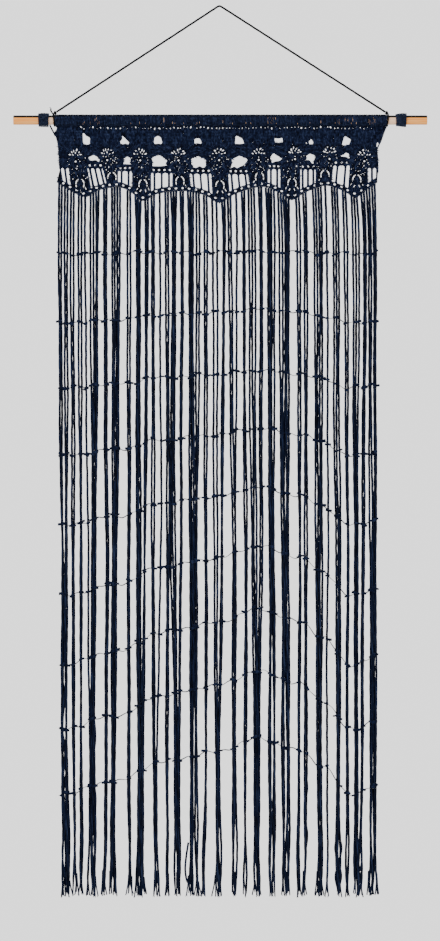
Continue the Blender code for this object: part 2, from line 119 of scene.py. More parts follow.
# Holes: x, drop, half width, half height, outline in halves
UPPER_HOLES = (
    (-342.5, 341.2, 9.4, 14.5, ((-1, -1), (-.55, -1), (0, -.5), (1, -.25), (1, 1), (-.9, 1))),
    (-244.0, 345.0, 11.7, 11.4,
     ((-.65, -1), (-.3, -.9), (1, .45), (.8, .95), (.1, .75), (-.65, 1), (-1, .3), (-.5, -.3))),
    (-158.1, 344.3, 10.7, 10.7,
     ((-.8, -.6), (0, -1), (.7, -.6), (1, .55), (.75, 1), (0, .85), (-.7, 1), (-1, .55))),
    (-55.5, 347.1, 9.4, 7.3, ((-1, -.6), (-.25, -1), (.5, -.9), (1, .4), (.8, 1), (0, .7), (-.9, .9))),
    (51.7, 344.0, 12.0, 10.3, ((-.85, -.9), (-.5, -1), (.55, -.35), (1, .9), (.1, 1), (-1, 1))),
    (152.7, 344.8, 10.7, 6.6, ((-1, -.9), (-.1, -.6), (.8, -1), (1, .8), (-.1, 1), (-1, .8))),
    (235.2, 348.1, 6.1, 7.0, ((.1, -1), (1, .3), (.7, 1), (-.7, 1), (-1, .1))),
    (223.2, 352.5, 2.8, 2.8, ((0, -1), (1, 0), (0, 1), (-1, 0))),
    (326.0, 345.5, 11.8, 12.2, ((-.4, -1), (1, -.2), (.55, 1), (-1, 1))),
    (405.8, 356.0, 3.2, 7.5, ((.3, -1), (1, -.1), (0, 1), (-1, .5), (-.4, -.5))),
)
LARGE_HOLES = (
    (-322.5, 392.4, 14.5, 9.4,
     ((-1, -.4), (-.05, -1), (.5, -.55), (1, .3), (.8, 1), (.25, .35), (-.4, .55), (-.8, .4))),
    (-237.2, 396.8, 11.7, 10.3,
     ((-.75, -.55), (-.05, -1), (.65, -.65), (.75, 0), (.55, .5), (1, 1), (0, .9), (-1, .9),
      (-.65, .25))),
    (-154.4, 398.2, 20.7, 15.8,
     ((-1, -.5), (-.4, -.8), (-.15, -1), (.35, -.7), (1, 0), (.75, .3), (.95, .75), (.1, .85),
      (-.9, .85), (-.8, .1))),
    (-53.2, 401.0, 19.3, 15.1,
     ((-1, -.55), (-.1, -1), (1, -.35), (.9, .2), (1, .75), (.5, 1), (.1, .65), (-.3, 1),
      (-.7, .9), (-.95, .3))),
    (50.6, 401.6, 23.1, 17.0,
     ((-.85, -.4), (0, -1), (.9, -.5), (.85, -.05), (.6, .2), (.7, .6), (.2, .55), (-.2, .9),
      (-.5, .65), (-1, 1), (-.75, .1))),
    (145.6, 390.5, 15.8, 13.1,
     ((-1, -.1), (-.4, -1), (.1, -.5), (1, .1), (.5, .6), (-.1, .65), (-.65, 1), (-.75, .45))),
    (232.7, 392.0, 13.9, 12.5,
     ((-.7, -.5), (-.05, -1), (.9, -.65), (1, -.1), (.6, .45), (.7, 1), (.3, 1), (-.1, .3),
      (-1, .45), (-.55, -.05))),
    (319.8, 384.1, 15.3, 8.3,
     ((-1, .4), (-.1, -.25), (.4, -1), (.8, -.5), (1, .6), (.7, 1), (.3, .4), (-.4, .4))),
)

# Each motif: x and drop of its fan of eyelets, x and drop of its bud
MOTIFS = (
    (-370.0, 377.6, -358.7, 457.6),
    (-288.7, 374.0, -276.4, 440.5),
    (-203.9, 374.8, -196.7, 459.0),
    (-105.4, 374.8, -101.6, 451.0),
    (-1.0, 374.0, 1.3, 462.0),
    (100.8, 373.3, 103.0, 440.5),
    (194.4, 371.5, 186.4, 456.0),
    (283.0, 370.7, 271.2, 435.0),
    (372.5, 376.8, 353.0, 447.0),
)
FAN_ROOT = 9.0
# Rounds of slits in a fan: radius, size, angles
FAN_ROUNDS = ((15.3, 1.08, (-73, -44, -15, 15, 43, 72)), (7.5, 0.8, (-60, 0, 62)))
FAN_EYELET = (1.55, 3.7)
DOT_EYELETS = ((0.0, 22.0), (3.0, 40.0))
DOT_RADIUS = 2.4
BUD_OUTER = 11.8
BUD_INNER = 9.3
BUD_TALL = 1.2
# Slits in the foot and at the sides of a bud: x from its middle, drop below it, turn in degrees
FOOT_SLITS = ((-6.4, 15.8, 26.0), (-2.2, 18.2, 9.0), (2.2, 18.2, -9.0), (6.4, 15.8, -26.0))
SIDE_SLITS = ((-15.6, 0.0, 14.0), (15.6, 0.5, -14.0), (-14.6, 11.5, 24.0), (14.6, 11.5, -24.0))
SLIT_SIZE = (1.1, 3.8)
# Gaps between the looser stitches: how many are tried under each fan and in the rows, and their sizes
LOOSE_GAPS = 44
ROW_GAPS = 60
LOOSE_SIZE = (0.5, 0.95)
ROW_GAP_SIZE = (0.3, 0.55)
# Where the gaps in the rows lie: from x, to x, from drop, to drop
ROW_GAP_FIELD = (-408, 415, 317, 366)

GROUND_THICKNESS = 1.3
LARGE_RIM = 1.25
SMALL_RIM = 0.95
# The lace's rows of stitches: pitch, height, first drop, and the drops where the rows and the fans end
STITCH_PITCH = 3.5
ROWS = 7
ROW_HEIGHT = 7.4
ROWS_TOP = 310.0
ROWS_FOOT = 359.0
ROWS_SPLIT = 352.0
FANS_FOOT = 413.0
# Radii of the rounds of stitches about a fan's root and about a bud, and a stitch's length in them
FAN_ARCS = (3.5, 9.5, 16.5, 23.8, 31.2, 38.6, 46.0, 53.4)
BUD_ARCS = (3.2, 9.7, 15.2, 22.2, 29.4, 36.8, 44.2)
ARC_HEIGHT = 7.0
# One stitch of a chain along its run, and half its length
CHAIN_PITCH = 3.7
CHAIN_REACH = 1.9

# Open arches: left, right, drop of the top, windows, eyelets above, lean
ARCHES = (
    (-408.0, -387.0, 417.0, 2, 0, 5.0),
    (-340.0, -299.0, 418.0, 4, 3, 9.0),
    (-261.5, -224.0, 425.0, 3, 3, 0.0),
    (-176.5, -120.5, 430.0, 4, 4, 0.0),
    (-77.5, -20.5, 432.0, 4, 4, 3.0),
    (22.0, 75.0, 433.0, 4, 4, 3.0),
    (123.5, 157.0, 420.0, 3, 3, 0.0),
    (207.0, 248.0, 421.0, 4, 3, 0.0),
    (292.0, 335.5, 411.0, 3, 3, -4.0),
    (381.0, 403.0, 417.0, 2, 0, 0.0),
)
ARCH_EYELET_RISE = 8.5
ARCH_EYELET = 2.7
# Chains over an arch: how far up they lie, the second one only over an arch wider than WIDE_ARCH
ARCH_CHAINS = (2.6, 13.0)
WIDE_ARCH = 25
BRIDGE_WIDTH = 4.2
# A bridge's two strands: radius of each, of their coil, length of one turn, and what runs past each end
BRIDGE_YARN = 1.15
BRIDGE_COIL = 0.95
BRIDGE_TURN = 7.5
BRIDGE_PAST = 3.0
# How an arch's open width is shared among its windows
WINDOW_SHARES = {2: (0.5, 0.5), 3: (0.27, 0.46, 0.27), 4: (0.17, 0.33, 0.33, 0.17)}

# Places where the pocket's posts part and the rod shows: from x, to x, share of posts parted
SLITS = ((-328, -296, 0.45), (-150, -120, 0.12), (108, 148, 0.5), (298, 346, 0.55), (374, 400, 0.5))
SLIT_WIDTH = 1.35
# Elsewhere only short slits low on the pocket: share of posts, from angle, to angle, half lengths
LOW_SLITS = (0.12, -1.05, -0.55, 0.2, 0.45)
# The row of small eyelets under the rod: from x, to x, drop, their half widths, and their distances
EYELET_ROW = (-356, 392, 312.5)
ROW_EYELETS = (1.0, 1.3, 1.7, 2.3)
ROW_STEPS = (6.5, 12.0)

# A string's radius with the soft fibres about it
YARN_RADIUS = 3.2
# Length in which a string's plies turn once, and the length of its thinner end
STRING_TURN = 180.0
STRING_TAPER = 42.0
LAYER_DEPTH = 2.6
ROOT_SPACING = 7.0
LAYER_SPACING = 5.3
END_DROP = 2282.0
END_UNEVEN = 7.0
# The opened plies of a string's end: radius at their root and at their tip, and of their lint
END_PLY = (1.9, 1.7)
END_LINT = 0.8
JOIN_DROP = 632.0
HIGH_DROP = 756.0
MIDDLE_DROP = 1373.0
LOW_DROP = 1939.0
WANDER = 1.2
ROOT_DEPTH = 2.3
GAP = 0.3
# Least and most distance of neighbours in a bundle at the high, middle, low and end drops
SPREADS = ((3.2, 8.4), (2.2, 6.2), (2.0, 4.2), (2.6, 5.0))

# Bundles of strings: how many, and x at the high, middle, low and end drops
BUNDLES = (
    (2, -410, -404, -404, -398), (2, -395, -394, -393, -387), (2, -379, -376, -374, -372),
    (2, -359, -356, -356, -354), (1, -346, -338, -333, -336), (2, -328, -325, -330, -326),
    (2, -315, -320, -323, -320), (2, -294, -289, -292, -295), (1, -276, -275, -277, -281),
    (3, -263, -267, -271, -273), (2, -233, -233, -233, -229), (3, -209, -208, -206, -207),
    (2, -187, -192, -197, -199), (2, -171, -171, -168, -165), (1, -153, -150, -161, -158),
    (2, -135, -132, -135, -133), (3, -117, -120, -112, -110), (2, -96, -99, -105, -102),
    (3, -73, -71, -71, -73), (2, -55, -60, -60, -58), (2, -35, -35, -35, -42),
    (1, -17, -14, -9, -6), (1, -6, -6, -5, 1), (2, 12, 6, -1, -1),
    (2, 27, 37, 36, 36), (1, 45, 41, 41, 45), (2, 63, 68, 66, 66),
    (3, 84, 89, 93, 95), (2, 107, 107, 100, 101), (2, 127, 131, 129, 131),
    (2, 138, 138, 141, 139), (2, 158, 163, 163, 167), (3, 174, 172, 177, 174),
    (2, 204, 207, 204, 202), (2, 222, 222, 222, 219), (3, 251, 253, 256, 258),
    (1, 264, 264, 261, 263), (1, 276, 279, 276, 279), (3, 300, 305, 305, 306),
    (2, 325, 330, 328, 330), (3, 351, 351, 351, 353), (2, 374, 369, 366, 362),
    (2, 387, 390, 390, 388), (1, 397, 398, 398, 396), (1, 402, 402, 402, 402),
)

# The threads across the strings: drop at the highest point, and how far the left end hangs lower
ROW_THREADS = (
    (632, 5), (779, 36), (936, 46), (1085, 72), (1237, 98), (1388, 129), (1550, 144), (1710, 149),
    (1882, 144),
)
# Where a thread hangs low: x, and the share of its sag
THREAD_SAG = (
    (-414, 1.0), (-256, .75), (-153, .42), (-12, .25), (99, 0.0), (207, .22), (264, .5), (336, 1.0),
    (405, .85),
)
THREAD_DEPTH = 5.8
# A thread's radius with its lint, and by how much it changes along the thread
THREAD_YARN = (1.15, 0.35)
# The yarn of the ties: least and most radius
TIE_TURNS = (2.3, 3.7)

# Loose strands that leave the strings low down: points of x and drop
STRAYS = (
    ((-407, 1700), (-399, 1780), (-404, 1860), (-392, 1940), (-401, 2030), (-389, 2110), (-395, 2190),
     (-387, 2262)),
    ((-398, 1760), (-405, 1850), (-397, 1930), (-405, 2010), (-396, 2090), (-404, 2170), (-398, 2240)),
    ((-326, 1800), (-319, 1880), (-327, 1960), (-318, 2040), (-325, 2110)),
    ((-80, 2150), (-86, 2190), (-88, 2222), (-83, 2250), (-74, 2256)),
    ((219, 1960), (226, 2010), (218, 2070), (226, 2130), (220, 2180)),
    ((303, 2130), (297, 2165), (305, 2200), (313, 2235), (306, 2272)),
    ((306, 2130), (314, 2165), (306, 2205), (298, 2238), (305, 2275)),
    ((352, 2130), (360, 2160), (366, 2190), (361, 2222), (354, 2210), (358, 2185)),
)
STRAY_YARN = 2.8
STRAY_DEPTH = 3.4

# Yarn colours: painted shade between the plies, the yarn's tone along them, painted light on their crowns;
# the uneven dye also moves between them
LACE_NAVY = ((0.0004, 0.0008, 0.0040), (0.0066, 0.0112, 0.0370), (0.0400, 0.0600, 0.1350))
# Painted shade: a darker copy of the lace yarn, for the sheet under the stitches and the sleeve under the
# posts
GROUND_SHADE_NAVY = (LACE_NAVY[0], LACE_NAVY[0], LACE_NAVY[1])
STRING_NAVY = ((0.0004, 0.0007, 0.0030), (0.0030, 0.0060, 0.0230), (0.0260, 0.0420, 0.1000))
THREAD_NAVY = ((0.0004, 0.0007, 0.0030), (0.0030, 0.0050, 0.0150), (0.0160, 0.0240, 0.0480))
CUFF_NAVY = ((0.0024, 0.0042, 0.0140), (0.0140, 0.0210, 0.0520), (0.0460, 0.0640, 0.1250))
CORD_BLACK = ((0.001, 0.001, 0.001), (0.004, 0.004, 0.005), (0.016, 0.016, 0.018))

# Strength of the white surroundings as light, and as the backdrop seen behind the curtain
AMBIENT = 1.0
BACKDROP = 1.8
FLOOR_HEIGHT = -2.60
# Soft lights: name, place, width, power
LIGHTS = (("key", (-2.2, -3.2, 0.6), 2.0, 60.0), ("fill", (2.4, -3.0, -0.6), 2.4, 30.0))

PICTURE_HEIGHT = 941
PIXEL = 2.571
LENS = 150.0
SENSOR = 36.0
# Where the middle of the picture lies, in metres
LOOK_X = 0.0013
LOOK_Z = -1.194

TURN = 2 * math.pi
chance = random.Random(11)
draw = chance.uniform
shuffle = np.random.default_rng(11)


# Materials


def feed(node, sockets):
    """Sets inputs to values, or links them to sockets or to the first outputs of other nodes."""
    for key, value in sockets.items():
        if isinstance(value, bpy.types.Node):
            value = value.outputs[0]
        if isinstance(value, bpy.types.NodeSocket):
            node.id_data.links.new(value, node.inputs[key])
        else:
            node.inputs[key].default_value = value


def add(tree, kind, *sockets, **values):
    """A node with its first inputs in order; the other values are inputs or settings by name."""
    node = tree.nodes.new("ShaderNode" + kind)
    inputs = dict(enumerate(sockets))
    for key, value in values.items():
        if key in node.inputs:
            inputs[key] = value
        else:
            setattr(node, key, value)
    feed(node, inputs)
    return node


def ramp(tree, share, *stops):
    node = add(tree, "ValToRGB", share)
    while len(node.color_ramp.elements) < len(stops):
        node.color_ramp.elements.new(0.5)
    for element, (place, colour) in zip(node.color_ramp.elements, stops):
        element.position = place
        element.color = (*colour, 1)
    return node


def mix(tree, share, first, second):
    node = add(tree, "Mix", share, data_type="RGBA")
    feed(node, {6: first, 7: second})
    return node.outputs[2]


def scaled_sum(tree, value, scale, offset):
    return add(tree, "Math", value, scale, offset, operation="MULTIPLY_ADD")


def new_material(name):
    made = bpy.data.materials.new(name)
    made.use_nodes = True
    return made, made.node_tree, made.node_tree.nodes["Principled BSDF"]


def yarn(name, colours, fuzz, along=1.0):
    """Cotton yarn: painted shade between the plies, painted light on the crowns, with uneven dye and fine
    fibres.

    Below 1, along draws the dye and the fibres out lengthwise down hanging yarn.
    """
    made, tree, shader = new_material(name)
    seat = add(tree, "TexCoord").outputs["Object"]
    place = add(tree, "Mapping", seat, Scale=(1, 1, along))
    # The crown value: painted shade between the plies, painted light on their crowns
    crown = add(tree, "Attribute", attribute_name="crown").outputs["Fac"]
    dye = add(tree, "TexNoise", place, Scale=150.0, Detail=3.0, Roughness=0.65)
    fibre = add(tree, "TexNoise", place, Scale=1400.0, Detail=2.0, Roughness=0.7)
    lint = scaled_sum(tree, fibre, 0.5, -0.86)
    height = scaled_sum(tree, crown, 0.55, scaled_sum(tree, dye, 1.5, lint))
    feed(shader, {
        "Base Color": ramp(tree, height, *zip((0.12, 0.5, 1.0), colours)),
        "Normal": add(tree, "Bump", Strength=0.5, Distance=0.0004, Height=fibre),
        "Roughness": 0.93,
        "Sheen Weight": fuzz,
        "Sheen Roughness": 0.45,
        "Sheen Tint": (0.45, 0.58, 0.85, 1),
        "Specular IOR Level": 0.08,
    })
    return made


def wood(name):
    """A sanded softwood dowel: grain along X, painted shade along its top, painted light between the cuffs.
    """
    made, tree, shader = new_material(name)
    place = add(tree, "TexCoord").outputs["Object"]
    stretch = add(tree, "Mapping", place, Scale=(1.6, 60.0, 60.0))
    grain = add(tree, "TexNoise", stretch, Scale=6.0, Detail=6.0, Roughness=0.65, Distortion=0.4)
    fine = add(tree, "TexNoise", stretch, Scale=34.0, Detail=4.0, Roughness=0.7)
    both = scaled_sum(tree, fine, 0.3, grain)
    tan = ramp(
        tree, both,
        (0.38, (0.66, 0.22, 0.034)), (0.6, (1.0, 0.36, 0.065)), (0.85, (1.0, 0.53, 0.18)),
    )
    apart = add(tree, "SeparateXYZ", place)
    inner = add(tree, "Math", apart.outputs["X"], operation="ABSOLUTE")
    # Painted light: the wood is paled between the cuffs
    painted_light = add(tree, "MapRange", inner, *PAINTED_LIGHT_SPAN, 0.0, 0.8)
    tan_and_light = mix(tree, painted_light, tan, (1.0, 0.72, 0.50, 1))
    # Painted shade: the top of the rod is mixed to near black
    top = add(tree, "MapRange", apart.outputs["Z"], *((up - ROD_DROP) * MM for up in ROD_TOP_SHADE))
    feed(shader, {
        "Base Color": mix(tree, top, tan_and_light, (0.004, 0.002, 0.001, 1)),
        "Normal": add(tree, "Bump", Strength=0.35, Distance=0.0003, Height=both),
        "Roughness": add(tree, "MapRange", both, 0.0, 1.0, 0.6, 0.8),
        "Specular IOR Level": 0.15,
    })
    return made


def plain(name, colour, roughness):
    made, tree, shader = new_material(name)
    speck = add(tree, "TexNoise", Scale=220.0, Detail=2.0)
    tone = ramp(tree, speck, (0.3, [0.8 * c for c in colour]), (0.7, colour))
    feed(shader, {"Base Color": tone, "Roughness": roughness})
    return made


# Meshes from arrays


def jitter(reach):
    return draw(-reach, reach)


def columns(*values):
    """Arrays and numbers side by side, as the coordinates of points."""
    return np.stack(np.broadcast_arrays(*values), axis=-1)


def to_metres(points):
    """Points of x, y and drop in millimetres as places in metres."""
    return points * (MM, MM, -MM)


def round_angles(count):
    return TURN * np.arange(count) / count


def about_rod(x, radius, angle):
    """Points at a radius from the rod's axis, the angle turned from its top towards the back."""
    return columns(x, radius * np.sin(angle), ROD_DROP - radius * np.cos(angle))


def gone_along(path):
    """How far each point lies along the path."""
    return np.concatenate([[0], np.cumsum(np.linalg.norm(np.diff(path, axis=0), axis=1))])


def add_object(name, data):
    made = bpy.data.objects.new(name, data)
    bpy.context.scene.collection.objects.link(made)
    return made


def crown_mesh(mesh, finish, crown):
    """Gives a mesh its material and at each point its crown value: painted shade between the plies, painted
    light on the crowns.
    """
    held = mesh.attributes.new("crown", "FLOAT", "POINT")
    held.data.foreach_set("value", np.asarray(crown, np.float32).ravel())
    mesh.materials.clear()
    mesh.materials.append(finish)


def ride(obj, slot, *nodes):
    """Puts a piece on the one body, in the place of the nodes."""
    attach(obj, "root")
    if nodes:
        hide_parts(*nodes)
    return obj


def piece(name, points, quads, crown, finish, slot, *nodes):
    """A smooth mesh of quads that rides on the body."""
    mesh = bpy.data.meshes.new(name)
    mesh.vertices.add(points.size // 3)
    mesh.vertices.foreach_set("co", np.asarray(points, np.float32).ravel())
    mesh.loops.add(quads.size)
    mesh.loops.foreach_set("vertex_index", quads.astype(np.int32).ravel())
    mesh.polygons.add(len(quads))
    mesh.polygons.foreach_set("loop_start", np.arange(0, quads.size, 4, dtype=np.int32))
    mesh.update(calc_edges=True)
    mesh.validate()
    mesh.shade_smooth()
    crown_mesh(mesh, finish, crown)
    return ride(add_object(name, mesh), slot, *nodes)


class Parts:
    """Gathers the arrays of many small forms for one mesh."""

    def __init__(self):
        self.points, self.quads, self.crowns, self.count = [], [], [], 0

    def take(self, points, quads, crowns):
        points = points.reshape(-1, 3)
        self.points.append(points)
        self.quads.append(quads + self.count)
        self.crowns.append(np.broadcast_to(crowns, len(points)) if np.ndim(crowns) == 0 else crowns.ravel())
        self.count += len(points)

    def strand(self, path, radii, **options):
        self.take(*capped(path, radii, **options))

    def make(self, name, finish, slot, *nodes):
        arrays = (np.concatenate(held) for held in (self.points, self.quads, self.crowns))
        return piece(name, *arrays, finish, slot, *nodes)


def grid_quads(rings, sides, closed=False):
    """Quads over rings of points; a closed run joins its last ring to its first."""
    ring = np.arange(rings if closed else rings - 1)[:, None]
    side = np.arange(sides)[None, :]
    after = (ring + 1) % rings
    turn = (side + 1) % sides
    quads = np.stack(
        [ring * sides + side, ring * sides + turn, after * sides + turn, after * sides + side], axis=-1
    )
    return quads.reshape(-1, 4)


def tube(path, radii, sides=6, closed=False, lobes=0, lobe=0.0, twist=0.0):
    """Points, quads and crowns of a tube along a path of 3D points in millimetres, drop as third."""
    path = np.asarray(path, float)
    ahead = np.roll(path, -1, 0) - np.roll(path, 1, 0)
    if not closed:
        ahead[0] = path[1] - path[0]
        ahead[-1] = path[-1] - path[-2]
    ahead /= np.maximum(np.linalg.norm(ahead, axis=1, keepdims=True), 1e-9)
    side = np.array((0.0, 1.0, 0.0) if abs(ahead[0][1]) < 0.8 else (1.0, 0.0, 0.0))
    normals = []
    for direction in ahead:
        side = side - direction * np.dot(side, direction)
        side /= max(np.linalg.norm(side), 1e-9)
        normals.append(side)
    normals = np.array(normals)
    across = np.cross(ahead, normals)
    angle = round_angles(sides)[None, :]
    wave = np.cos(angle * lobes) if lobes else np.zeros_like(angle)
    turn = angle + (twist * gone_along(path))[:, None]
    radii = np.broadcast_to(np.asarray(radii, float), len(path))[:, None] * (1 + lobe * wave)
    points = (
        path[:, None, :]
        + (radii * np.cos(turn))[..., None] * normals[:, None, :]
        + (radii * np.sin(turn))[..., None] * across[:, None, :]
    )
    # Painted shade between the lobes of the plies, painted light on their crowns
    crowns = np.broadcast_to(0.5 + 0.5 * wave, radii.shape) if lobes else np.full(radii.shape, 0.6)
    return to_metres(points), grid_quads(len(path), sides, closed), crowns


def capped(path, radii, **options):
    """A tube whose ends close to a point."""
    path = np.asarray(path, float)
    radii = np.broadcast_to(np.asarray(radii, float), len(path)).copy()
    first = path[0] + (path[0] - path[1]) * 0.02
    last = path[-1] + (path[-1] - path[-2]) * 0.02
    path = np.concatenate([[first], path, [last]])
    radii = np.concatenate([[radii[0] * 0.05], radii, [radii[-1] * 0.05]])
    return tube(path, radii, **options)


def smooth_path(points, step):
    """A Catmull-Rom curve through the points, sampled about every step."""
    points = np.asarray(points, float)
    ends = np.concatenate([[2 * points[0] - points[1]], points, [2 * points[-1] - points[-2]]])
    out = []
    for i in range(1, len(ends) - 2):
        a, b, c, d = ends[i - 1 : i + 3]
        count = max(1, round(np.linalg.norm(c - b) / step))
        t = (np.arange(count) / count)[:, None]
        out.append(
            0.5 * (2 * b + (c - a) * t + (2 * a - 5 * b + 4 * c - d) * t**2 + (3 * b - a - 3 * c + d) * t**3)
        )
    out.append(points[-1:])
    return np.concatenate(out)


def eased(rows, x):
    """The value at x of a short table of (x, value), eased between its rows."""
    xs, values = np.array(rows, float).T
    x = np.clip(np.asarray(x, float), xs[0], xs[-1])
    i = np.clip(np.searchsorted(xs, x, side="right") - 1, 0, len(xs) - 2)
    share = 0.5 - 0.5 * np.cos(np.pi * (x - xs[i]) / (xs[i + 1] - xs[i]))
    return values[i] + (values[i + 1] - values[i]) * share


def chain_line(offset):
    """The lower chain's line, rounded between the points of its table."""
    return smooth_path(CHAIN, 8.0) + (0, offset)


def chain_drop(x):
    return np.interp(x, *zip(*CHAIN))


# The camera, then the cord and its knots


def make_camera():
    """Straight on and far off, with PIXEL millimetres to a pixel of the picture."""
    data = bpy.data.cameras.new("camera")
    data.lens = LENS
    data.sensor_width = SENSOR
    camera = add_object("camera", data)
    camera.location = (LOOK_X, -PICTURE_HEIGHT * PIXEL * MM * LENS / SENSOR, LOOK_Z)
    camera.rotation_euler = (math.radians(90), 0, 0)
    bpy.context.scene.camera = camera


def leg_points(lump_x, top):
    far = math.dist((lump_x, LUMP_DROP), top)
    bare = far - KNOT_LUMP - GAP
    count = round(bare / CORD_STEP)
    shares = [1 - bare / far * (1 - i / count) for i in range(count)]
    return [(lump_x + (top[0] - lump_x) * k, LUMP_DROP + (top[1] - LUMP_DROP) * k) for k in shares]


def declare_cord(obj, path, radius, **more):
    """Gives the length in metres of a cord's path in millimetres."""
    length = float(gone_along(path)[-1]) * MM
    return length


def make_knot(name, x, lump_x, slant, tail, finish):
    """A ring of cord round the rod with a tied lump above it, and perhaps a tail."""
    made = Parts()
    around = np.linspace(0, TURN, 41)[:-1]
    ring = about_rod(x + slant * np.cos(around) + 0.4 * np.sin(3 * around), KNOT_RING, around)
    made.take(*tube(ring, RING_YARN, closed=True, **CORD_PLIES))
    t = np.linspace(0, TURN, 61)[:-1]
    loop = columns(
        lump_x + KNOT_LOOP[0] * (np.sin(t) + 2 * np.sin(2 * t)), -KNOT_LOOP[1] * np.sin(3 * t),
        LUMP_DROP + KNOT_LOOP[2] * (np.cos(t) - 2 * np.cos(2 * t)),
    )
    made.take(*tube(loop, LOOP_YARN, closed=True))
    if tail:
        route = [(lump_x, 0, LUMP_DROP)] + [(x + dx, 0, ROD_DROP - up) for dx, up in tail]
        made.strand(smooth_path(route, 1.5), TAIL_YARN, **CORD_PLIES)
    return made.make(name + "_tied", finish, "black_cord", name)


def make_cord(finish, tip_finish):
    """The cord over the hanging point, three plies twisted, with its knots on the rod."""
    left, right = LEFT_KNOT + LUMP_INWARD, RIGHT_KNOT - LUMP_INWARD
    tilt = math.atan2(LUMP_DROP - CORD_BEND, -left)
    turns = [tilt * (i / 3 - 1) for i in range(7)]
    bend = [(CORD_BEND * math.sin(a), CORD_BEND * (1 - math.cos(a))) for a in turns]
    route = leg_points(left, bend[0]) + bend + leg_points(right, bend[-1])[::-1]
    path = smooth_path([(x, 0, drop) for x, drop in route], 2.2)
    cord = Parts()
    cord.strand(path, CORD_YARN, **{**CORD_PLIES, "lobe": 0.02})
    cord = cord.make("hanging_cord_twisted", finish, "black_cord", "hanging_cord")
    knots = [
        make_knot("left_knot", LEFT_KNOT, left, -1.8, KNOT_TAIL, finish),
        make_knot("right_knot", RIGHT_KNOT, right, 1.2, None, finish),
    ]
    x, drop = LEFT_KNOT + KNOT_TAIL[-1][0], ROD_DROP - KNOT_TAIL[-1][1]
    hook = [(x, 0, drop + 0.6), (x - 0.4, 0, drop - 1.6), (x - 2.0, 0, drop - 3.0), (x - 3.8, 0, drop - 2.4)]
    hook = smooth_path(hook, 0.7)
    tip = Parts()
    tip.strand(hook, np.linspace(1.7, 0.9, len(hook)))
    knots.append(tip.make("left_knot_tip", tip_finish, "black_cord"))
    return declare_cord(cord, path, CORD_RADIUS, with_pieces=knots)


def make_tie(finish):
    path = smooth_path([(x, 0, drop) for x, drop in TIE_ROUTE], 1.2)
    made = Parts()
    made.strand(path, TIE_YARN, **{**CORD_PLIES, "twist": 0.5})
    return declare_cord(made.make("left_tie_yarn", finish, "navy_wrap", "left_tie"), path, TIE_RADIUS)


# The rod and its cuffs


def make_rod(finish):
    """The dowel, with eased ends."""
    sides = 48
    end = [
        (0.0, 0.02), (0.0, ROD_RADIUS - ROD_EASE), (ROD_NICK, ROD_RADIUS - ROD_NICK), (ROD_EASE, ROD_RADIUS),
    ]
    stations = [(ROD_LEFT + x, radius) for x, radius in end]
    stations += [(x, ROD_RADIUS) for x in np.linspace(ROD_LEFT + 20, ROD_RIGHT - 20, 24)]
    stations += [(ROD_RIGHT - x, radius) for x, radius in reversed(end)]
    x, radius = np.array(stations).T[:, :, None]
    points = to_metres(about_rod(x, radius, round_angles(sides)))
    crowns = np.zeros(len(stations) * sides)
    rod = piece("rod_dowel", points, grid_quads(len(stations), sides), crowns, finish, "rod_wood", "rod")
    rod.data.set_sharp_from_angle(angle=math.radians(50))


def make_cuff(name, node, left, right, reach, finish):
    """Yarn wound on the rod in two layers, the inner one wound back."""
    made = Parts()
    for layer, inward in enumerate((2 * CUFF_YARN, 0.0)):
        count = int((right - left) / (2 * CUFF_YARN))
        t = np.linspace(0, 1, 22 * count + 1)
        x = left + CUFF_YARN + (right - left - 2 * CUFF_YARN) * (t if layer else 1 - t)
        radius = np.interp((x - left) / (right - left), np.linspace(0, 1, len(reach)), reach) - CUFF_YARN
        radius = np.maximum(radius - inward, ROD_RADIUS + CUFF_YARN + 0.15)
        radius += 0.25 * np.sin(t * 61) + 0.2 * np.sin(t * 23 + layer)
        made.strand(about_rod(x, radius, TURN * count * t), CUFF_YARN, lobes=3, lobe=0.12, twist=0.6)
    made.make(name, finish, "navy_wrap", node)


# The lace border


def rounded(outline):
    """The loop with its corners cut once, and swelled to keep its size."""
    points = np.asarray(outline, float)
    after = np.roll(points, -1, 0)
    cut = np.stack([points * 0.88 + after * 0.12, points * 0.12 + after * 0.88], axis=1).reshape(-1, 2)
    centre = points.mean(0)
    return centre + (cut - centre) * 1.02


def diamond(x, drop, half_width, half_height, turn=0.0, corners=8):
    """A small oval eyelet, turned by an angle in degrees from upright."""
    along, across = math.sin(math.radians(turn)), math.cos(math.radians(turn))
    angles = round_angles(corners)
    u, v = half_width * np.sin(angles), -half_height * np.cos(angles)
    return columns(x + u * across - v * along, drop + u * along + v * across)


def arch_windows(left, right, windows):
    """The sides of an arch's windows, the outer ones narrower."""
    open_width = right - left - BRIDGE_WIDTH * (windows - 1)
    sides, x = [], left
    for share in WINDOW_SHARES[windows]:
        sides.append((x, x + share * open_width))
        x += share * open_width + BRIDGE_WIDTH
    return sides


def bud_crescent(x, drop, side):
    """One half of the open ring round a bud, from near its top down past its middle."""
    first, last = draw(10, 26), draw(104, 134)
    out, back = np.radians(np.linspace(first, last, 9)), np.radians(np.linspace(last - 12, first + 10, 8))
    outer = [(BUD_OUTER * math.sin(a), -BUD_OUTER * BUD_TALL * math.cos(a)) for a in out]
    inner = [(BUD_INNER * math.sin(a), -BUD_INNER * BUD_TALL * math.cos(a)) for a in back]
    return np.array([(x + side * u, drop + v) for u, v in outer + inner])


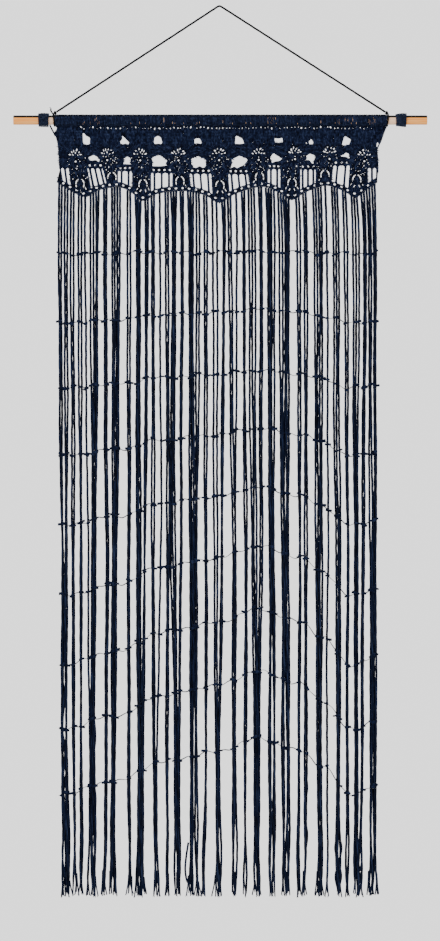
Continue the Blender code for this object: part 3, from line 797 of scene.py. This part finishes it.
def small_gaps(loops):
    """Irregular gaps between the stitches, where they are clear of the holes in the loops."""
    spots = []
    for fan_x, fan_drop, bud_x, bud_drop in MOTIFS:
        for dx, down, turn in FOOT_SLITS + SIDE_SLITS:
            spots.append((bud_x + dx, bud_drop + down, *SLIT_SIZE, turn + jitter(10)))
        for _ in range(LOOSE_GAPS):
            share = chance.random()
            spots.append((
                fan_x + share * (bud_x - fan_x) + jitter(25),
                fan_drop + 11 + share * (bud_drop - fan_drop - 24),
                draw(*LOOSE_SIZE), draw(*LOOSE_SIZE) * 2, jitter(90),
            ))
    for _ in range(ROW_GAPS):
        spots.append((
            draw(*ROW_GAP_FIELD[:2]), draw(*ROW_GAP_FIELD[2:]),
            draw(*ROW_GAP_SIZE), draw(*ROW_GAP_SIZE), 0.0,
        ))
    spots = np.array(spots)
    room = clearance(spots[:, :2], loops) - spots[:, 3]
    kept = []
    for spot in spots[inside(spots[:, :2], loops) & (room > 1.2)]:
        if all(math.dist(spot[:2], other[:2]) > spot[3] + other[3] + 1.6 for other in kept):
            kept.append(spot)
    return [diamond(x, drop, wide, tall, turn, 6) for x, drop, wide, tall, turn in kept]


def lace_holes(outline):
    """Every hole's loop: the large ones, the small ones with a rim, and those without."""
    large = []
    for x, drop, half_width, half_height, corners in UPPER_HOLES + LARGE_HOLES:
        large.append(rounded([(x + u * half_width, drop + v * half_height) for u, v in corners]))
    for left, right, top, windows, _, lean in ARCHES:
        for x0, x1 in arch_windows(left, right, windows):
            crest = [(x0, top + 1.5), ((x0 + x1) / 2, top - 1.2), (x1, top + 1.5)]
            foot = [(x + lean, chain_drop(x + lean) - CHAIN_UP) for x in (x1, x0)]
            large.append(rounded(crest + foot))
    small, open_rings = [], []
    for fan_x, fan_drop, bud_x, bud_drop in MOTIFS:
        for radius, scale, angles in FAN_ROUNDS:
            for angle in angles:
                turned = angle + jitter(6)
                away = math.radians(turned)
                reach = radius + jitter(1.6)
                small.append(diamond(
                    fan_x + reach * math.sin(away), fan_drop + FAN_ROOT - reach * math.cos(away),
                    FAN_EYELET[0] * scale * draw(0.7, 1.2),
                    FAN_EYELET[1] * scale * draw(0.65, 1.05), turned + jitter(30),
                ))
        for dx, down in DOT_EYELETS:
            small.append(diamond(fan_x + dx, fan_drop + down, DOT_RADIUS, DOT_RADIUS))
        open_rings += [bud_crescent(bud_x, bud_drop, side) for side in (-1, 1)]
    for left, right, top, _, eyelets, _ in ARCHES:
        for i in range(eyelets):
            x = left + (right - left) * (i + 0.5) / eyelets
            small.append(diamond(x, top - ARCH_EYELET_RISE, ARCH_EYELET * 1.15, ARCH_EYELET))
    first = CHAIN[0][0] + CHAIN_EYELET_PITCH
    for i in range(int((CHAIN[-1][0] - first) / CHAIN_EYELET_PITCH)):
        x = first + i * CHAIN_EYELET_PITCH
        drop = chain_drop(x) + (CHAIN_DOWN - CHAIN_UP) / 2
        small.append(diamond(x, drop, CHAIN_EYELET * 1.35, CHAIN_EYELET * 1.1))
    x = EYELET_ROW[0]
    while x < EYELET_ROW[1]:
        size = chance.choice(ROW_EYELETS)
        drop = EYELET_ROW[2] + draw(-1.8, 3.2)
        small.append(diamond(x, drop, size, size * 1.35, jitter(60), 6))
        x += draw(*ROW_STEPS)
    return large, small, open_rings + small_gaps([outline] + large + small + open_rings)


def flat_sheet(name, loops, thickness):
    """A closed sheet in the XZ plane from its outline and its holes, loops of x and drop."""
    curve = bpy.data.curves.new(name, "CURVE")
    curve.dimensions = "2D"
    curve.fill_mode = "BOTH"
    curve.extrude = thickness / 2 * MM
    for loop in loops:
        spline = curve.splines.new("POLY")
        spline.points.add(len(loop) - 1)
        for point, (x, drop) in zip(spline.points, loop):
            point.co = (x * MM, -drop * MM, 0, 1)
        spline.use_cyclic_u = True
    held = add_object(name, curve)
    held.rotation_euler.x = math.radians(90)
    bpy.context.view_layer.update()
    mesh = bpy.data.meshes.new_from_object(held.evaluated_get(bpy.context.evaluated_depsgraph_get()))
    mesh.transform(held.matrix_world)
    mesh.name = name
    bpy.data.objects.remove(held)
    return mesh


def inside(points, loops):
    """Which points lie inside an odd number of the loops."""
    odd = np.zeros(len(points), bool)
    for loop in loops:
        low, high = loop.min(0), loop.max(0)
        near = np.all((points >= low) & (points <= high), axis=1)
        if not near.any():
            continue
        x, d = points[near, 0][:, None], points[near, 1][:, None]
        a, b = loop, np.roll(loop, -1, 0)
        spans = (a[:, 1] > d) != (b[:, 1] > d)
        run = np.where(b[:, 1] == a[:, 1], 1e-9, b[:, 1] - a[:, 1])
        meets = a[:, 0] + (d - a[:, 1]) * (b[:, 0] - a[:, 0]) / run
        odd[near] ^= (spans & (x < meets)).sum(1) % 2 == 1
    return odd


def clearance(points, loops):
    """How far each point lies from the nearest edge of the loops, up to 6 mm."""
    best = np.full(len(points), 6.0)
    for loop in loops:
        low, high = loop.min(0) - 6, loop.max(0) + 6
        near = np.flatnonzero(np.all((points >= low) & (points <= high), axis=1))
        if not len(near):
            continue
        p = points[near][:, None, :]
        a, b = loop[None], np.roll(loop, -1, 0)[None]
        run = b - a
        share = np.clip(((p - a) * run).sum(-1) / np.maximum((run**2).sum(-1), 1e-9), 0, 1)
        gap = np.linalg.norm(p - a - share[..., None] * run, axis=-1).min(1)
        best[near] = np.minimum(best[near], gap)
    return best


def stitch_template():
    """One treble stitch, 1 long and upright: a post with its yarn over, and the V of its head."""
    parts = Parts()
    post = [(0.0, 0.0, 0.52), (0.14, -0.15, 0.2), (-0.12, 0.1, -0.15), (0.05, 0.0, -0.45)]
    parts.take(*tube(post, (0.9, 1.25, 1.2, 0.85), sides=4))
    for side in (-1, 1):
        drop = [(side * 0.25, 0, -0.25), (side * 0.8, 0, -0.42), (side * 1.45, 0, -0.58)]
        parts.strand(drop, (0.8, 1.15, 0.65), sides=4)
    return parts


def copies(template, count):
    """The template's points in millimetres, and the quads of so many copies of it."""
    points = np.concatenate(template.points) / MM
    starts = (np.arange(count) * len(points))[:, None, None]
    return points, (np.concatenate(template.quads) + starts).reshape(-1, 4)


def stitches(spots, finish, name):
    """Places a stitch at every spot: x, drop, angle from upright, length."""
    x, drop, angle, length = spots.T[:, :, None]
    points, quads = copies(stitch_template(), len(spots))
    lean = angle + shuffle.normal(0, 0.10, (len(spots), 1))
    width = shuffle.uniform(0.9, 1.12, (len(spots), 1))
    size = np.clip(length / ROW_HEIGHT, 0.65, 1.1)
    local_x = points[:, 0] * width * size
    local_z = points[:, 2] * length * 1.02
    depth = points[:, 1] * size * 1.25 + shuffle.uniform(-0.35, 0.35, (len(spots), 1))
    at_x = x + local_x * np.cos(lean) + local_z * np.sin(lean)
    at_drop = drop + local_x * np.sin(lean) - local_z * np.cos(lean)
    # Painted light where the yarn stands out to the front or back, painted shade deeper in, with a random
    # tone each stitch
    crown = 0.25 + 0.6 * np.clip(np.abs(points[:, 1]) / 1.2, 0, 1)
    crowns = np.clip(crown + shuffle.normal(0, 0.2, (len(spots), 1)), 0, 1)
    return piece(name, to_metres(columns(at_x, depth, at_drop)), quads, crowns, finish, "navy_lace")


def stitch_spots():
    """Rows under the rod, arcs round the fans, and rounds about the buds."""
    spots = []
    for row in range(ROWS):
        xs = np.arange(-421, 430, STITCH_PITCH) + (STITCH_PITCH / 2 if row % 2 else 0)
        spots += [(x, ROWS_TOP + ROW_HEIGHT * row, 0.0, ROW_HEIGHT) for x in xs]
    motifs = np.array(MOTIFS)
    for centres, radii, top, foot in (
        (motifs[:, :2] + (0, FAN_ROOT), FAN_ARCS, ROWS_FOOT, FANS_FOOT),
        (motifs[:, 2:], BUD_ARCS, FANS_FOOT, END_DROP),
    ):
        for k, (cx, cd) in enumerate(centres):
            for radius in radii:
                count = max(5, round(TURN * radius / STITCH_PITCH))
                angles = TURN * (np.arange(count) + 0.5) / count - np.pi
                x = cx + radius * np.sin(angles)
                d = cd - radius * np.cos(angles)
                far = np.hypot(x[:, None] - centres[:, 0], d[:, None] - centres[:, 1])
                keep = (far.argmin(1) == k) & (d >= top) & (d < foot)
                spots += [(*at, ARC_HEIGHT) for at in zip(x[keep], d[keep], angles[keep])]
    return np.array(spots)


def fit_spots(spots, loops):
    """Keeps the stitches that lie on the cloth, the ones near an edge made shorter."""
    kept = np.zeros(len(spots), bool)
    spots = spots.copy()
    for length in (1.0, 0.72, 0.5):
        left = np.flatnonzero(~kept)
        long = spots[left, 3] * length
        clear = np.ones(len(left), bool)
        for end, least in ((-0.5, 0.5), (0.0, 1.0), (0.5, 0.8)):
            at = columns(
                spots[left, 0] + end * long * np.sin(spots[left, 2]),
                spots[left, 1] - end * long * np.cos(spots[left, 2]),
            )
            clear &= inside(at, loops) & (clearance(at, loops) > least)
        spots[left[clear], 3] *= length
        kept[left[clear]] = True
    return spots[kept]


def rim(loop, radius, step, made, swell=0.2):
    """A chained edge of yarn round a hole, just outside its loop."""
    centre = loop.mean(0)
    away = loop - centre
    far = np.maximum(np.linalg.norm(away, axis=1, keepdims=True), 0.5)
    points = centre + away * (1 + 0.75 * radius / far)
    closed = np.concatenate([points, points[:1]])
    gone = gone_along(closed)
    count = max(8, int(gone[-1] / step))
    at = np.linspace(0, gone[-1], count + 1)[:-1]
    phase = np.arange(count) * TURN / 3
    beads = radius * (1 + swell * np.sin(phase))
    x, d = (np.interp(at, gone, closed[:, axis]) for axis in (0, 1))
    points, quads, _ = tube(columns(x, 0.35 * np.sin(phase + 1), d), beads, sides=5, closed=True)
    # Painted light on the swelling beads, painted shade between them
    made.take(points, quads, np.repeat(0.35 + 0.4 * (beads / radius - 1 + swell) / (2 * swell), 5))


def chain_of_v(path, made, radius=0.85, depth=0.0):
    """A crocheted chain along a path of x and drop: leaning drops in pairs."""
    path = np.asarray(path, float)
    gone = gone_along(path)
    count = max(2, int(gone[-1] / CHAIN_PITCH))
    at = (np.arange(count) + 0.5) * gone[-1] / count
    (x, before_x, after_x), (d, before_d, after_d) = (
        [np.interp(at + shift, gone, path[:, axis]) for shift in (0, -0.5, 0.5)] for axis in (0, 1)
    )
    angle = np.arctan2(after_d - before_d, after_x - before_x)[:, None]
    shape = Parts()
    for side in (-1, 1):
        shape.strand(
            [(-CHAIN_REACH, 0, side * 1.15), (0.2, 0, side * 0.75), (CHAIN_REACH, 0, side * 0.1)],
            (radius * 0.75, radius * 1.2, radius * 0.6), sides=4,
        )
    points, quads = copies(shape, count)
    px, py, pd = points[:, 0], points[:, 1], -points[:, 2]
    at_x = x[:, None] + px * np.cos(angle) - pd * np.sin(angle)
    at_drop = d[:, None] + px * np.sin(angle) + pd * np.cos(angle)
    # Painted light where the drops stand out to the front or back, painted shade deeper in
    crowns = np.tile(0.3 + 0.5 * np.clip(np.abs(py) / radius, 0, 1), count)
    made.take(to_metres(columns(at_x, py * 1.3 + depth, at_drop)), quads, crowns)


def make_bridges(made):
    """Two strands twisted together down each bridge between the windows."""
    for left, right, top, windows, _, lean in ARCHES:
        sides = arch_windows(left, right, windows)
        places = [x0 - BRIDGE_WIDTH / 2 for x0, _ in sides] + [sides[-1][1] + BRIDGE_WIDTH / 2]
        for i, x in enumerate(places):
            span = chain_drop(x + lean) - CHAIN_UP - top + 2 * BRIDGE_PAST
            t = np.linspace(0, 1, max(6, int(span / 1.6)))
            middle = x + lean * t + 0.4 * np.sin(3 * t + i)
            for phase in (0, np.pi):
                wind = t * span / BRIDGE_TURN * TURN + phase
                drops = top - BRIDGE_PAST + span * t
                path = columns(middle + BRIDGE_COIL * np.cos(wind), BRIDGE_COIL * np.sin(wind), drops)
                made.strand(path, BRIDGE_YARN, sides=5)


def make_pocket(finish, shade_yarn):
    """Posts of yarn round the rod, pushed apart here and there, on a thin sleeve in painted shade that is
    open at those slits.
    """
    sides = 36
    angle = round_angles(sides)
    first, last = POCKET_LEFT + POST_INSET, POCKET_RIGHT - POST_INSET
    width = POCKET_RIGHT - POCKET_LEFT - 2 * POST_INSET
    places = np.linspace(first, last, round(width / POST_PITCH) + 1)
    pitch = places[1] - places[0]
    push = np.zeros((len(places), sides))
    slits = []
    for k, x in enumerate(places[:-1]):
        share = next((s for a, b, s in SLITS if a < x < b), 0.0)
        if chance.random() < share:
            middle = draw(-0.8, 0.5)
            reach = draw(0.3, 1.15)
        elif EYELET_ROW[0] < x < EYELET_ROW[1] and chance.random() < LOW_SLITS[0]:
            middle = draw(*LOW_SLITS[1:3])
            reach = draw(*LOW_SLITS[3:])
        else:
            continue
        middle += 1.5 * np.pi
        part = np.clip(1 - ((angle - middle) / reach) ** 2, 0, 1) * SLIT_WIDTH / 2
        push[k] -= part
        push[k + 1] += part
        slits.append((x + pitch / 2, middle, reach * 0.8))
    rings = Parts()
    for k, x in enumerate(places):
        lean = jitter(0.5)
        radius = POCKET_RADIUS - 0.05 + jitter(0.15)
        sway = lean * np.cos(angle) + 0.25 * np.sin(5 * angle + x) + push[k]
        thick = POST_RADIUS * (1 + 0.1 * np.sin(angle * 6 + x))
        points, quads, _ = tube(about_rod(x + sway, radius, angle), thick, sides=4, closed=True)
        # Painted light where a post stands out from the rod, painted shade deeper in, with a random tone
        # each post
        out = np.hypot(points[..., 1] / MM, points[..., 2] / MM + ROD_DROP)
        crown = np.clip(0.75 * (out - radius + 0.6) / 2.0, 0, 1) + draw(-0.15, 0.25)
        # Painted shade: the posts darken towards the top of the pocket
        crown *= np.clip((-points[..., 2] / MM - 280.5) / 5.0, 0, 1)
        rings.take(points, quads, crown)
    across = np.arange(places[0] + pitch / 4, places[-1], pitch / 2)
    points = to_metres(about_rod(across[:, None], SLEEVE_RADIUS, angle))
    quads = grid_quads(len(across), sides)
    at_x = across[quads[:, 0] // sides] + pitch / 4
    at_angle = angle[quads[:, 0] % sides] + np.pi / sides
    kept = np.ones(len(quads), bool)
    for x, middle, reach in slits:
        kept &= (np.abs(at_x - x) > pitch / 4) | (np.abs(at_angle - middle) > reach)
    # Painted shade: the sleeve in the darker copy of the yarn shows in the narrow gaps between the posts
    sleeve = Parts()
    sleeve.take(points, quads[kept], 0.1)
    return [
        rings.make("pocket_stitches", finish, "navy_lace"), sleeve.make("pocket_shade_sleeve", shade_yarn, "navy_lace"),
    ]


def make_lace(finish, shade_yarn):
    """The border: a sheet in painted shade with its holes, and the stitches, rims, bridges and chains on it.
    """
    outline = np.concatenate([LACE_LEFT, chain_line(CHAIN_DOWN + 1.0), LACE_RIGHT])
    large, small, bare = lace_holes(outline)
    loops = [outline] + large + small + bare
    mesh = flat_sheet("lace_ground_shade", loops, GROUND_THICKNESS)
    # Painted shade: the sheet under the stitches in the darker copy of the yarn
    crown_mesh(mesh, shade_yarn, np.full(len(mesh.vertices), 0.12))
    ground = ride(add_object("lace_ground_shade", mesh), "navy_lace", "header")
    spots = fit_spots(stitch_spots(), loops)
    parts = []
    ends = (0, ROWS_SPLIT, FANS_FOOT, END_DROP)
    for name, top, foot in zip(("lace_rows", "lace_fans", "lace_buds"), ends, ends[1:]):
        parts.append(stitches(spots[(spots[:, 1] >= top) & (spots[:, 1] < foot)], finish, name))
    rims = Parts()
    for loop in large:
        rim(loop, LARGE_RIM, 1.5, rims)
    for loop in small:
        rim(loop, SMALL_RIM, 1.6, rims)
    make_bridges(rims)
    parts.append(rims.make("lace_rims", finish, "navy_lace"))
    chains = Parts()
    for depth in (-1.2, 1.2):
        chain_of_v([(POCKET_LEFT + 2, SEAM_DROP), (POCKET_RIGHT - 2, SEAM_DROP)], chains, depth=depth)
    for left, right, top, *_ in ARCHES:
        span = np.linspace(left - 5, right + 5, 12)
        rise = 2.0 * np.sin(np.pi * (span - left + 5) / (right - left + 10))
        for up in ARCH_CHAINS if right - left > WIDE_ARCH else ARCH_CHAINS[:1]:
            chain_of_v(columns(span, top - up - rise), chains)
    chain_of_v(chain_line(0.6 - CHAIN_UP), chains)
    chain_of_v(chain_line(CHAIN_DOWN - 0.5), chains, radius=1.0)
    chain_of_v(chain_line(CHAIN_DOWN + GAP + 1.7), chains, radius=1.0)
    for edge in (LACE_LEFT, LACE_RIGHT):
        chain_of_v(smooth_path(edge, 3.0), chains, radius=0.95)
    parts.append(chains.make("lace_chains", finish, "navy_lace"))
    sizes = []
    for loop in loops:
        after = np.roll(loop, -1, 0)
        sizes.append(abs((loop[:, 0] * after[:, 1] - after[:, 0] * loop[:, 1]).sum()) / 2)
    return ground, parts, sizes[0] - sum(sizes[1:]), outline


# The strings


def keep_apart(places, least, step=1):
    places = list(places)
    for _ in range(400):
        for i in range(len(places) - step):
            short = least - (places[i + step] - places[i])
            if short > 0:
                places[i] -= short / 2
                places[i + step] += short / 2
    return places


def string_places(column, spacings):
    places = []
    for row, spacing in zip(BUNDLES, spacings):
        count = row[0]
        places += [row[column] + (i - (count - 1) / 2) * spacing for i in range(count)]
    return keep_apart(keep_apart(places, LAYER_SPACING, 2), 1.2)


def string_routes():
    """The solids' routes: x, y and drop of seven points a string."""
    uneven = random.Random(5)
    roots = keep_apart(string_places(1, [ROOT_SPACING] * len(BUNDLES)), ROOT_SPACING)
    narrow = (CHAIN[-1][0] - CHAIN[0][0] - 12) / (roots[-1] - roots[0])
    if narrow < 1:
        roots = [CHAIN[0][0] + 6 + (x - roots[0]) * narrow for x in roots]
    spreads = [[uneven.uniform(*limits) for _ in BUNDLES] for limits in SPREADS]
    high, middle, low, end = (string_places(n, spread) for n, spread in enumerate(spreads, 1))
    sway = [uneven.uniform(-WANDER, WANDER) for _ in BUNDLES]
    sways = [value for value, row in zip(sway, BUNDLES) for _ in range(row[0])]
    routes = []
    for i, root in enumerate(roots):
        y = LAYER_DEPTH * (1 if i % 2 else -1)
        end_drop = END_DROP - uneven.uniform(0, END_UNEVEN)
        routes.append([
            (root, 0.0, float(chain_drop(root)) + CHAIN_DOWN + GAP + ROOT_DEPTH),
            (high[i], y, JOIN_DROP),
            ((high[i] + middle[i]) / 2 + sways[i], y, (HIGH_DROP + MIDDLE_DROP) / 2),
            (middle[i], y, MIDDLE_DROP),
            ((middle[i] + low[i]) / 2 - sways[i], y, (MIDDLE_DROP + LOW_DROP) / 2),
            (low[i], y, LOW_DROP),
            (end[i], y, end_drop),
        ])
    return routes


def make_strings(finish):
    """Soft yarn along every route, slightly uneven, in a front and a back layer, each end in tails."""
    layers = (Parts(), Parts())
    tails = Parts()
    for route in string_routes():
        path = smooth_path(route, 8.0)
        drops = path[:, 2]
        fade = np.clip((drops - JOIN_DROP) / 120, 0, 1)
        a, b = draw(0, 6.3), draw(0, 6.3)
        path[:, 0] += fade * (0.9 * np.sin(drops / 88 + a) + 0.35 * np.sin(drops / 31 + b))
        path[:, 0] += 1.6 * np.sin(drops / 47 + b) * np.clip((drops - LOW_DROP) / 250, 0, 1)
        path[:, 1] += fade * 0.25 * np.sin(drops / 53 + b)
        radii = YARN_RADIUS * (1.0 + 0.04 * np.sin(drops / 31 + a) + 0.015 * np.sin(drops / 13 + b))
        radii *= 1 + 0.07 * np.clip((JOIN_DROP + 60 - drops) / 120, 0, 1)
        radii *= 1 - 0.6 * np.clip((drops - drops[-1] + STRING_TAPER) / STRING_TAPER, 0, 1)
        twist = (TURN / STRING_TURN) * draw(0.94, 1.06)
        layers[route[-1][1] > 0].strand(path, radii, sides=5, lobes=2, twist=twist)
        add_tails(tails, path)
    for layer, name in zip(layers, ("strings_front", "strings_back")):
        layer.make(name, finish, "navy_string", "string_curtain")
    tails.make("string_ends", finish, "navy_string")


def add_tails(made, path):
    """The plies of a string's end, opened out like a small fan."""
    x, y, drop = path[-1]
    count = chance.choice((1, 2, 2, 3))
    for k in range(count):
        side = (k - (count - 1) / 2) * draw(4.0, 8.0) + jitter(4.0)
        length = draw(4, 9)
        high = draw(28, 58)
        tail = smooth_path([
            (x + 0.15 * side, y, drop - high),
            (x + 0.4 * side, y + jitter(0.6), drop - high * 0.45),
            (x + side, y + jitter(1), drop + length),
        ], 4.0)
        made.strand(tail, np.linspace(*END_PLY, len(tail)), sides=5)
        for _ in range(2):
            lint = [
                (x + side, y, drop + length - 3),
                (x + side + jitter(2.5), y, drop + length + draw(1, 3)),
            ]
            made.strand(lint, END_LINT, sides=3)


def make_strays(finish):
    """Loose plies that curl away from the strings."""
    made = Parts()
    for k, points in enumerate(STRAYS):
        y = (-1) ** k * STRAY_DEPTH
        path = smooth_path([(x, y + 0.8 * math.sin(d / 30), d) for x, d in points], 4.0)
        made.strand(path, STRAY_YARN, sides=5)
    made.make("stray_strands", finish, "navy_string")


def thread_drop(highest, sag, x):
    """Drop of a thread at x, with the small zigzag that it takes from string to string."""
    zigzag = 3.0 * np.sin(x / 7.1 + highest) + 2.2 * np.sin(x / 16.7 + sag)
    return highest + sag * eased(THREAD_SAG, x) + zigzag


def make_threads(finish, knots_finish):
    """The fine threads across the strings, with short turns of yarn that tie them to the bundles."""
    lines, ties = Parts(), Parts()
    left, right = BUNDLES[0][1] - 3, BUNDLES[-1][1] + 3
    for highest, sag in ROW_THREADS:
        xs = np.linspace(left, right, 260)
        path = columns(xs, -THREAD_DEPTH, thread_drop(highest, sag, xs))
        lines.strand(path, THREAD_YARN[0] + THREAD_YARN[1] * np.sin(xs / 9.0 + sag), sides=5)
        for row in BUNDLES:
            at = float(np.interp(highest, (HIGH_DROP, MIDDLE_DROP, LOW_DROP, END_DROP), row[1:]))
            for _ in range(chance.choice((1, 1, 2))):
                middle = at + jitter(3.5)
                half = (row[0] - 1) * 1.3 + draw(3.5, 8.0)
                reach = np.linspace(-half, half, 6)
                drop = thread_drop(highest, sag, middle) + jitter(3.0)
                drops = drop + jitter(0.45) * reach + jitter(0.6) * np.cos(reach)
                dash = columns(middle + reach, (reach / half) ** 2 - THREAD_DEPTH, drops)
                ties.strand(dash, draw(*TIE_TURNS), sides=5)
    nodes = (f"row_thread_{n + 1}" for n in range(len(ROW_THREADS)))
    lines.make("row_threads", finish, "navy_thread", *nodes)
    ties.make("row_thread_ties", knots_finish, "navy_thread")


# Stage and light


def make_stage():
    bpy.ops.mesh.primitive_circle_add(
        vertices=96, radius=1.6, fill_type="NGON", location=(0, 0, FLOOR_HEIGHT)
    )
    floor = bpy.context.object
    floor.name = "floor"
    made, _, shader = new_material("pale_floor")
    feed(shader, {"Base Color": (0.86, 0.86, 0.86, 1), "Roughness": 0.9})
    floor.data.materials.append(made)
    world = bpy.data.worlds.new("studio")
    world.use_nodes = True
    tree = world.node_tree
    around = tree.nodes["Background"]
    feed(around, {"Color": (1, 1, 1, 1), "Strength": AMBIENT})
    seen = add(tree, "Background", (1, 1, 1, 1), BACKDROP)
    to_camera = add(tree, "LightPath").outputs["Is Camera Ray"]
    feed(tree.nodes["World Output"], {"Surface": add(tree, "MixShader", to_camera, around, seen)})
    bpy.context.scene.world = world
    for name, place, size, power in LIGHTS:
        data = bpy.data.lights.new(name, "AREA")
        data.size = size
        data.energy = power
        light = add_object(name, data)
        light.location = place
        aim = np.array([0, 0, -1.0]) - np.array(place)
        light.rotation_euler = (
            math.atan2(math.hypot(aim[0], aim[1]), -aim[2]), 0, math.atan2(aim[1], aim[0]) - math.pi / 2,
        )


def main():
    make_camera()
    black = yarn("cord_black", CORD_BLACK, 0.08)
    lace_yarn = yarn("lace_yarn", LACE_NAVY, 0.05)
    lace_ground_shade = yarn("lace_ground_shade_yarn", GROUND_SHADE_NAVY, 0.03)
    string_yarn = yarn("string_yarn", STRING_NAVY, 0.07, along=0.12)
    cuff_yarn = yarn("cuff_yarn", CUFF_NAVY, 0.15)
    thread = yarn("thread_yarn", THREAD_NAVY, 0.1)
    pale_tip = plain("pale_tip", (0.42, 0.42, 0.44), 0.6)
    timber = wood("dowel_wood")
    cord_length = make_cord(black, pale_tip)
    tie_length = make_tie(string_yarn)
    make_rod(timber)
    for cuff in CUFFS:
        make_cuff(*cuff, cuff_yarn)
    ground, lace, area, outline = make_lace(lace_yarn, lace_ground_shade)
    pocket = make_pocket(lace_yarn, lace_ground_shade)
    make_strings(string_yarn)
    make_strays(string_yarn)
    make_threads(thread, string_yarn)
    make_stage()


main()
